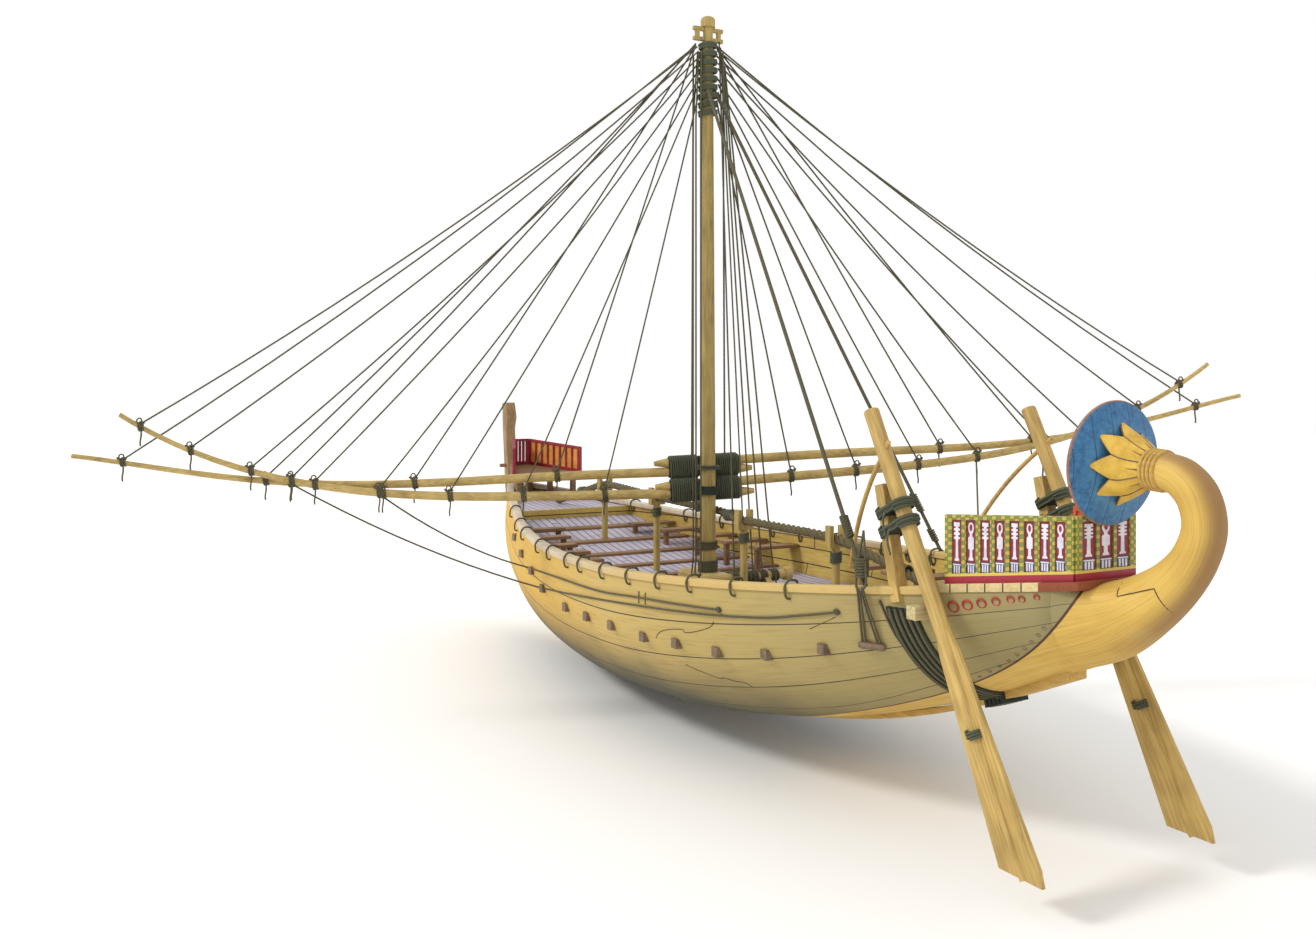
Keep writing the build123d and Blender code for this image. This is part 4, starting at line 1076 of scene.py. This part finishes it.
def buildLapTurns():
    # Bands of close turns over the lap of each pair of half-spars, and parrel turns from the yard round the mast.
    for kind in ("boom", "yard"):
        bm = bmesh.new()
        middle = ahead * spars[kind]["ahead"] + aloft * spars[kind]["z"]
        size = spars["root"] + lap["off"]
        for place in (-lap["at"], lap["at"]):
            spot = middle + along * place
            turns = coil(spot, along, ahead, size, size, lap["turns"], lap["pitch"], 20, flat=spars["root"])
            tube(bm, turns, lap["line"])
        if kind == "yard":
            for shift in (-lap["parrelStep"], lap["parrelStep"]):
                spot = (0, 0, spars[kind]["z"] + shift)
                wind(bm, spot, aloft, forward, lap["parrel"], 1, 0.0, lap["line"], 28)
        piece(f"{kind}LapTurns", bm, bindingRope, spars[kind]["body"])


buildLapTurns()
mast = {"foot": 0.3, "taper": 0.12, "low": 0.65, "high": 10.76}


def mastRadius(z):
    return (mast["foot"] - mast["taper"] * (z - mast["low"]) / (mast["high"] - mast["low"])) / 2


masthead = {"low": 9.23, "step": 0.15, "bands": 9, "line": 0.03, "off": 0.05, "thinLine": 0.014, "thinOff": 0.074}
backstays = {
    "line": 0.03, "head": (-0.06, 0.06, 9.7), "feet": ((1, -6.56, 1.56), (-1, -3.1, -2.69)), "footUp": 0.05,
    "seizings": ((0.9, 9), (0.3, 6)), "seizingOff": 0.048, "seizingPitch": 0.036, "seizingLine": 0.016,
}


def buildMasthead():
    bm = bmesh.new()
    for index in range(masthead["bands"]):
        z = masthead["low"] + masthead["step"] * index
        radius = mastRadius(z)
        wind(bm, (0, 0, z), aloft, forward, radius + masthead["off"], 2, 0.05, masthead["line"], 20)
        wind(bm, (0, 0, z), aloft, abeam, radius + masthead["thinOff"], 1, 0.03, masthead["thinLine"], 20)
    piece("mastheadRopeRings", bm, bindingRope, replaces=("masthead_rings",))


def buildBackstays():
    # Each stay is doubled and seized at two places above the gunwale.
    bm = bmesh.new()
    for sign, x, y in backstays["feet"]:
        foot = Vector((x, y, sheer(x) + backstays["footUp"]))
        top = Vector((backstays["head"][0], backstays["head"][1] * sign, backstays["head"][2]))
        run = (foot - top).normalized()
        tube(bm, [top, top.lerp(foot, 0.5), foot], backstays["line"], 8)
        for up, turns in backstays["seizings"]:
            wind(bm, foot - run * up, run, abeam, backstays["seizingOff"], turns, backstays["seizingPitch"],
                 backstays["seizingLine"], 10)
    piece("backstayRopes", bm, darkRope, replaces=("backstays",))


falls = {
    "line": 0.0155, "rows": (0.0, -0.22, -0.38, -0.57, -0.8), "head": (-0.06, -0.2, 10.52),
    "headStep": (-0.015, -0.02, -0.11), "log": (-0.9, 1.03), "end": 1.12, "turns": 4, "turnLine": 0.0165,
    "tail": ((-0.98, 0, 1.05), (-1.05, 0.03, 0.85), (-1.12, 0.02, 0.72), (-1.25, -0.05, 0.71)),
    "mastLines": (74, 98, 122), "bindings": ((1.12, 6), (1.5, 4)), "bindingLine": 0.02,
    "mastCourse": ((0.13, 0.2, 10.3), (0.27, 0.27, 9.1), (0.27, 0.27, 1.25), (0.3, 0.3, 0.98)),
}
halyards = {"line": 0.018, "angles": (-8, 44, 235), "low": (0.3, 3.08), "high": (0.27, 10.3)}


def buildFalls():
    # Halyard falls and brailing lines down to the log, lines down the mast, and bindings at its foot.
    bm = bmesh.new()
    logX, logZ = falls["log"]
    for index, y in enumerate(falls["rows"]):
        top = Vector([start + step * index for start, step in zip(falls["head"], falls["headStep"])])
        end = Vector((logX, y, falls["end"]))
        tube(bm, [top, top.lerp(end, 0.5), end], falls["line"])
        wind(bm, (logX, y, logZ), abeam, forward, 0.096, falls["turns"], 0.038, falls["turnLine"])
        tube(bm, smoothLine([(a, y + b, c) for a, b, c in falls["tail"]], 5), falls["line"])
    for angle in falls["mastLines"]:
        a = math.radians(angle)
        tube(bm, [(p * math.cos(a), q * math.sin(a), z) for p, q, z in falls["mastCourse"]], falls["line"])
    for z, turns in falls["bindings"]:
        wind(bm, (0, 0, z), aloft, forward, mastRadius(z) + 0.018, turns, 0.038, falls["bindingLine"], 18)
    piece("mastRopes", bm, darkRope)


def buildHalyards():
    # From the lap up to the masthead; on the ship they shorten as the yard goes up. Each is a piece of its own with its
    # own mesh.
    for index, angle in enumerate(halyards["angles"]):
        a = math.radians(angle)
        spot, top = [Vector((r * math.cos(a), r * math.sin(a), z)) for r, z in (halyards["low"], halyards["high"])]
        bm = bmesh.new()
        tube(bm, [spot, top], halyards["line"])
        made = piece(f"halyard.{index}", bm, darkRope)
        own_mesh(made)


buildMasthead()
buildBackstays()
buildFalls()
buildHalyards()
truss = {
    "course": (  # over the posts and past the mast on its starboard side
        (6.75, 0, 1.72), (6.0, 0, 1.9), (5.0, 0, 2.13), (4.29, 0, 2.27), (3.3, 0, 2.26), (1.95, 0, 2.2),
        (1.0, -0.12, 2.15), (0, -0.235, 2.1), (-0.7, -0.1, 2.07), (-1.21, 0, 2.06), (-2.5, 0, 2.06), (-3.6, 0, 2.05),
        (-4.3, 0, 1.97), (-5.3, 0, 1.77), (-6.25, 0, 1.59)),
    "strand": 0.037, "strands": 3, "lay": 0.42, "posts": ((4.29, 2.1), (1.95, 2.03), (-1.21, 1.88), (-3.82, 1.88)),
    "seizings": ((5.4, 7), (-5.4, 7), (-0.55, 6), (0.55, 6)), "seizingLine": 0.016, "seizingPitch": 0.034,
}


def buildTruss():
    line = smoothLine(truss["course"], 24)
    bm = bmesh.new()
    run, size = 0.0, truss["strand"]
    strands = [[] for _ in range(truss["strands"])]
    for index, point in enumerate(line):
        run += (point - line[max(0, index - 1)]).length
        tangent = (line[min(len(line) - 1, index + 1)] - line[max(0, index - 1)]).normalized()
        up = tangent.cross(abeam).normalized()
        for number, strand in enumerate(strands):
            a = run / truss["lay"] * tau + number * tau / truss["strands"]
            strand.append(point + abeam * (size * math.cos(a)) + up * (size * math.sin(a)))
    for strand in strands:
        tube(bm, strand, size, 8, mapScale=2 * size)
    piece("hoggingTruss", bm, trussRope, replaces=("hogging_truss",))

    bm = bmesh.new()
    for x, z in truss["posts"]:
        wind(bm, (x, 0, z - 0.12), aloft, forward, 0.08, 5, truss["seizingPitch"], truss["seizingLine"])
    for x, turns in truss["seizings"]:
        spot = min(line, key=lambda p: abs(p.x - x))
        wind(bm, spot, (1, 0, -0.1), abeam, 0.088, turns, truss["seizingPitch"], truss["seizingLine"])
    piece("trussBindings", bm, bindingRope)


buildTruss()
girdle = {
    "turns": 5, "middle": -7.19, "step": 0.072, "rake": math.radians(15.6), "line": 0.027, "rakeZ": 1.05, "top": 1.62,
    "keelSide": (0.19, -0.03), "keelUnder": (0.12, -0.118), "count": 25,
}


def buildGirdle():
    # Five turns round the hull, leaning aft with the stern.
    bm = bmesh.new()
    rake, line, z0 = math.tan(girdle["rake"]), girdle["line"], girdle["rakeZ"]
    for number in range(girdle["turns"]):
        x0 = girdle["middle"] + (number - 2) * girdle["step"] / math.cos(girdle["rake"])
        side = []
        z = girdle["top"]
        for step in range(girdle["count"] + 1):
            cy, cz, radius, low, _ = sideArc(x0 + (z - z0) * rake)
            top = math.asin(max(-1, min(1, (girdle["top"] - cz) / (radius + line))))
            a = top + (low - top) * step / girdle["count"]
            z = cz + (radius + line) * math.sin(a)
            side.append(Vector((x0 + (z - z0) * rake, cy + (radius + line) * math.cos(a), z)))
        last = side[-1]
        side[-1] = Vector((last.x, girdle["keelSide"][0], last.z + girdle["keelSide"][1]))
        side.append(Vector((last.x, girdle["keelUnder"][0], hullAt(last.x, 3) + girdle["keelUnder"][1])))
        tube(bm, side + [Vector((p.x, -p.y, p.z)) for p in side[::-1]], line, 8)
    piece("girdleRopes", bm, darkRope)


buildGirdle()
oars = {
    "foot": (-9.07, -1.08), "slope": (4.04 + 1.08) / (9.07 - 6.39), "out": 1.35,  # the loom's line
    "stanchion": (-6.96, 1.7, 0.32 / 1.42), "lashings": (2.7, 2.9),
    "inner": (0.137, 0.13, 4, 0.034, 0.018), "outer": (0.16, 0.142, 2, 0.036, 0.016),  # radii, turns, pitch, line
    "tail": ((0, 0, 0), (0.03, 0.03, -0.15), (-0.02, 0.02, -0.34)), "tailLine": 0.014, "bladeTurns": 0.42,
}


def buildOarLashings():
    bm = bmesh.new()
    (footX, footZ), slope = oars["foot"], oars["slope"]
    axis = Vector((1, 0, slope)).normalized()
    toPost = abeam.cross(axis).normalized()
    postX, postZ, lean = oars["stanchion"]
    for _, sign in sides:
        for z in oars["lashings"]:
            loom = Vector((footX + (z - footZ) / slope, sign * oars["out"], z))
            gap = (postX + (z - postZ) * lean - loom.x) * axis.z
            middle = loom + toPost * (gap / 2)
            for shift, (wide, high, turns, pitch, line) in ((0, oars["inner"]), (0.02, oars["outer"])):
                tube(bm, coil(middle + axis * shift, axis, abeam, wide, high, turns, pitch, 24, flat=gap / 2), line)
            end = middle + abeam * (sign * 0.14)
            tube(bm, smoothLine([end + Vector((a, sign * b, c)) for a, b, c in oars["tail"]], 5), oars["tailLine"])
    piece("oarLashings", bm, bindingRope)
    for side, sign in sides:
        bm = bmesh.new()
        spot = Vector((footX + 1.5 / slope, sign * oars["out"], oars["bladeTurns"]))
        wind(bm, spot, axis, abeam, 0.108, 3, 0.034, 0.016, 16)
        piece(f"oarTurns.{side}", bm, bindingRope, f"steering_oar_{side}")


buildOarLashings()
guys = {
    "port": (  # metres out on the boom, then x and z along the planking to the hole
        (5.68, ((2.24, 0.96), (0.24, 1.08), (-1.44, 1.12), (-2.68, 1.2), (-3.6, 1.23), (-4.36, 1.26))),
        (7.19, ((1.64, 0.69), (-0.6, 0.91), (-2.64, 1.07), (-3.96, 1.15), (-5.04, 1.25), (-5.64, 1.36), (-6.2, 1.48)))),
    "starboard": ((5.23, -4.36, 1.26), (6.6, -6.2, 1.48)), "line": 0.016, "sag": 0.15,
    "spare": ((-6.75, 1.7), (-6.95, 1.2), (-7.2, 0.75), (-7.5, 0.45)),  # end of a line that hangs over the side
}
loops = {
    "at": (5.64, 4.08, 3.04, 1.56, 0.76, -0.2, -0.8, -1.64, -2.44, -3.16, -3.84, -4.64, -5.52), "seed": 7,
    "curl": (0.07, 0.11), "curlLine": 0.0165, "curlAt": (0.12, -0.13, -0.08), "line": 0.017, "holeDown": 0.13,
    "over": ((0.03, 0.065, 0.02), (0.06, -0.02, 0.1), (0.08, -0.16, 0.085), (0.1, -0.175, -0.02), (0.1, -0.14, -0.16)),
}
purchase = {
    "foot": (-6.56, 1.56), "legs": (-6.49, -6.69), "spread": 0.022, "low": 1.1, "line": 0.014,
    "turns": (0.085, 0.07, 7, 0.036), "turnLine": 0.017,
    "toggle": ((-6.43, 0.7), (-6.46, 1), (-6.59, 0.85), (-6.72, 1), (-6.75, 0.7)),
    "stitches": (-2.64, -2.8), "stitchZ": 1.2, "stitchLine": 0.009,
}


def onSide(x, z, sign=1, out=0.02):
    # Point just outside the planking.
    return Vector((x, sign * (sideY(x, z) + out), z))


def addGuys(bm):
    # From the boom down to the side, aft along the planking and in at their holes.
    for t, course in guys["port"]:
        start, radius = sparSpot("boom", "port", t)
        knot(bm, start, radius, along)
        side = [onSide(x, z) for x, z in course]
        line = sag(start - aloft * radius, side[0], guys["sag"], 10)[:-1] + smoothLine(side, 8)
        line.append(line[-1] + Vector((-0.03, -0.08, 0.0)))
        tube(bm, line, guys["line"])
        wind(bm, side[-1] + forward * 0.02, abeam, forward, 0.03, 2, 0.02, 0.014, 10)
    for t, x, z in guys["starboard"]:
        start, radius = sparSpot("boom", "starboard", t)
        end = onSide(x, z, -1)
        tube(bm, [start - aloft * radius, start.lerp(end, 0.5) - aloft * 0.05, end + Vector((0.05, -0.02, 0.1)),
                  end, end + Vector((-0.03, 0.08, 0))], guys["line"])


def addLoop(bm, x, sign, size):
    # Over the gunwale and through a hole under the cap, with a curl of spare rope inside.
    top, half = sheer(x), hullAt(x, 1)
    before, into, down = loops["curlAt"]
    curl = []
    for step in range(13):
        a = step / 8 * tau
        middle = Vector((x + before + 0.02 * step / 8, sign * (half + into), top + down))
        curl.append(middle + Vector((math.cos(a) * size, sign * 0.02, math.sin(a) * size)))
    tube(bm, curl, loops["curlLine"])
    hole = onSide(x, top - loops["holeDown"], sign, 0.0)
    line = [hole + Vector((0, -sign * 0.02, 0)), hole + Vector((0.01, sign * 0.05, 0.02))]
    line += [Vector((x + a, sign * (half + b), top + c)) for a, b, c in loops["over"]]
    tube(bm, smoothLine(line, 5), loops["line"])


def addPurchase(bm):
    # The port stay's lashing: turns round it, and two doubled legs over the gunwale to a toggle on the side.
    x0, y0 = purchase["foot"]
    foot = Vector((x0, y0, sheer(x0)))
    for x in purchase["legs"]:
        for shift in (-purchase["spread"], purchase["spread"]):
            over = Vector((-6.6 + shift + (x + 6.59) * 0.4, y0 + 0.11, sheer(x) - 0.03))
            leg = [foot + aloft * 0.75 + forward * 0.05, foot + Vector((x - x0, 0.1, 0.14)), over,
                   onSide(x + shift, purchase["low"], 1, 0.04)]
            tube(bm, smoothLine(leg, 6), purchase["line"])
    tube(bm, coil(foot + Vector((0.02, 0.05, 0.3)), aloft, forward, *purchase["turns"], 16), purchase["turnLine"])
    z = purchase["stitchZ"]
    for x in purchase["stitches"]:
        tube(bm, [onSide(x - 0.02, z + 0.09, 1, 0.004), onSide(x + 0.02, z - 0.09, 1, 0.004)], purchase["stitchLine"])
    tube(bm, [onSide(-2.56, z - 0.005, 1, 0.012), onSide(-2.87, z + 0.01, 1, 0.012)], purchase["stitchLine"])


def buildSideRopes():
    bm = bmesh.new()
    addGuys(bm)
    pick = random.Random(loops["seed"])
    for x in loops["at"]:
        for _, sign in sides:
            addLoop(bm, x, sign, pick.uniform(*loops["curl"]))
    tube(bm, smoothLine([onSide(x, z) for x, z in guys["spare"]], 6), guys["line"])
    addPurchase(bm)
    piece("sideRopes", bm, darkRope)

    bm = bmesh.new()
    spots, widths = zip(*purchase["toggle"])
    tube(bm, [onSide(x, purchase["low"], 1, 0.05) for x in spots], 0.05, 8, radii=widths)
    piece("purchaseToggle", bm, blockWood)


buildSideRopes()
marks = {
    "joints": (  # curved joints in the planking
        ((-2.8, 0.6), (-2.94, 0.71), (-3.16, 0.79), (-3.5, 0.85), (-3.55, 0.81), (-3.82, 0.875),
         (-4.1, 0.98), (-4.19, 1.07)),
        ((-3.2, 0.26), (-3.4, 0.21), (-3.77, 0.15), (-3.86, 0.18), (-4.05, 0.16), (-4.22, 0.17), (-4.3, 0.11)),
        ((-5.76, 1.2), (-6.15, 1.41))),
    "postJoint": ((-9.3, 2.19), (-9.34, 2.05), (-9.79, 2.2), (-9.92, 1.95)), "jointLine": 0.006,
    "rings": ((-7.64, 1.73, 1.0), (-7.8, 1.77, 0.92), (-7.96, 1.81, 0.85), (-8.12, 1.85, 0.76), (-8.28, 1.89, 0.68),
              (-8.4, 1.91, 0.6), (-8.56, 1.95, 0.52)),
    "ring": 0.062, "ringLine": (0.011, 0.003), "flare": 0.44,  # flare is how the side turns in towards the stern
    "pegs": (0.86, 0.093, 12), "peg": 0.022, "pegLine": 0.0045, "pegAhead": 0.085, "pegLast": -8.66,
}


def buildMarks():
    # Joints, painted rings and pegs on both sides of the stern.
    bm = bmesh.new()
    for course in marks["joints"]:
        for _, sign in sides:
            tube(bm, smoothLine([onSide(x, z, sign, -0.001) for x, z in course], 4), marks["jointLine"])
    corners = [Vector((x, 0, z)) for x, z in marks["postJoint"]]
    spots = [a.lerp(b, i / 6) for a, b in zip(corners, corners[1:]) for i in range(6)] + corners[-1:]
    for _, sign in sides:
        tube(bm, [postSide(p.x, p.z, sign) for p in spots], marks["jointLine"])
    piece("plankJoints", bm, seamWood)

    bm = bmesh.new()
    for x, z, size in marks["rings"]:
        for _, sign in sides:
            run, rise = Vector((1, sign * marks["flare"], 0)).normalized(), Vector((0, sign * 0.25, 1)).normalized()
            ring = ringOf(onSide(x, z, sign, 0.002), run, rise, marks["ring"] * size, 18)
            tube(bm, ring, marks["ringLine"][0] * size + marks["ringLine"][1], cyclic=True)
    piece("sideRings", bm, ringPaint)

    bm = bmesh.new()
    first, pitch, count = marks["pegs"]
    for step in range(count):
        z = first + step * pitch
        rise = z - scarf["z"]
        x = scarf["bend"] * rise ** 2 - scarf["aft"] - scarf["slope"] * rise + marks["pegAhead"]
        if x < marks["pegLast"]:
            continue
        for _, sign in sides:
            run, up = Vector((1, sign * marks["flare"], 0)).normalized(), Vector((0, sign * 0.5, 1)).normalized()
            ring = ringOf(onSide(x, z, sign, 0.001), run, up, marks["peg"], 12)
            tube(bm, ring, marks["pegLine"], cyclic=True)
    piece("scarfPegs", bm, blockWood)


buildMarks()
deckCoils = {
    "at": ((-1.45, 0.75, 5), (-1.5, -0.2, 4), (0.75, -1.1, 4), (-5.35, 0.9, 4)), "steps": 22,
    "radius": 0.24, "waver": 0.016, "line": 0.0165, "rise": 0.0224, "end": (0.42, 0.12),
}


def buildDeckCoils():
    bm = bmesh.new()
    steps = deckCoils["steps"]
    for x, y, turns in deckCoils["at"]:
        line, floor = [], deckZ(x) + 0.06
        for step in range(turns * steps + 1):
            a = step / steps * tau
            size = deckCoils["radius"] - deckCoils["waver"] * math.sin(step * 0.7)
            line.append((x + size * math.cos(a), y + size * math.sin(a), floor + deckCoils["rise"] * step / steps))
        line.append((x + deckCoils["end"][0], y + deckCoils["end"][1], floor + 0.002))
        tube(bm, line, deckCoils["line"])
    piece("deckCoils", bm, darkRope)


buildDeckCoils()

# Floor, light and camera.
print("stage")
stage = {
    "floor": -1.36, "size": 120, "floorTone": "f1f0ee", "world": 1.0,
    "sun": 1.5, "sunColour": (1.0, 0.99, 0.96), "sunWidth": math.radians(12), "sunAim": (-0.28, -0.74, -0.62),
    "camera": (-18.56, 10.88, 4.36), "heading": math.radians(-118), "lens": 32.83, "shift": -0.0642,
}


def buildStage():
    floor = Finish("paleFloor", 0.85)
    floor.shader.inputs["Base Color"].default_value = tone(stage["floorTone"])
    bm = bmesh.new()
    bmesh.ops.create_grid(bm, x_segments=1, y_segments=1, size=stage["size"])
    bmesh.ops.translate(bm, verts=bm.verts[:], vec=(0, 0, stage["floor"]))
    mesh = bpy.data.meshes.new("floor")
    bm.to_mesh(mesh)
    bm.free()
    mesh.materials.append(floor.material)
    made = bpy.data.objects.new("floor", mesh)
    bpy.context.scene.collection.objects.link(made)

    world = bpy.data.worlds.new("studio")
    world.use_nodes = True
    background = world.node_tree.nodes["Background"]
    background.inputs["Color"].default_value = (1, 1, 1, 1)
    background.inputs["Strength"].default_value = stage["world"]
    bpy.context.scene.world = world
    sun = bpy.data.lights.new("key", "SUN")
    sun.energy, sun.color, sun.angle = stage["sun"], stage["sunColour"], stage["sunWidth"]
    key = bpy.data.objects.new("key", sun)
    key.location = (0, 0, 20)
    key.rotation_euler = Vector(stage["sunAim"]).to_track_quat("-Z", "Y").to_euler()
    bpy.context.scene.collection.objects.link(key)


def buildCamera():
    lens = bpy.data.cameras.new("camera")
    lens.sensor_fit, lens.sensor_width, lens.lens = "HORIZONTAL", 36.0, stage["lens"]
    lens.shift_y = stage["shift"]
    camera = bpy.data.objects.new("camera", lens)
    camera.location = stage["camera"]
    camera.rotation_euler = (math.radians(90), 0, stage["heading"])
    bpy.context.scene.collection.objects.link(camera)
    bpy.context.scene.camera = camera
    bpy.context.scene.view_settings.view_transform = "Standard"


buildStage()
buildCamera()

print("finished")
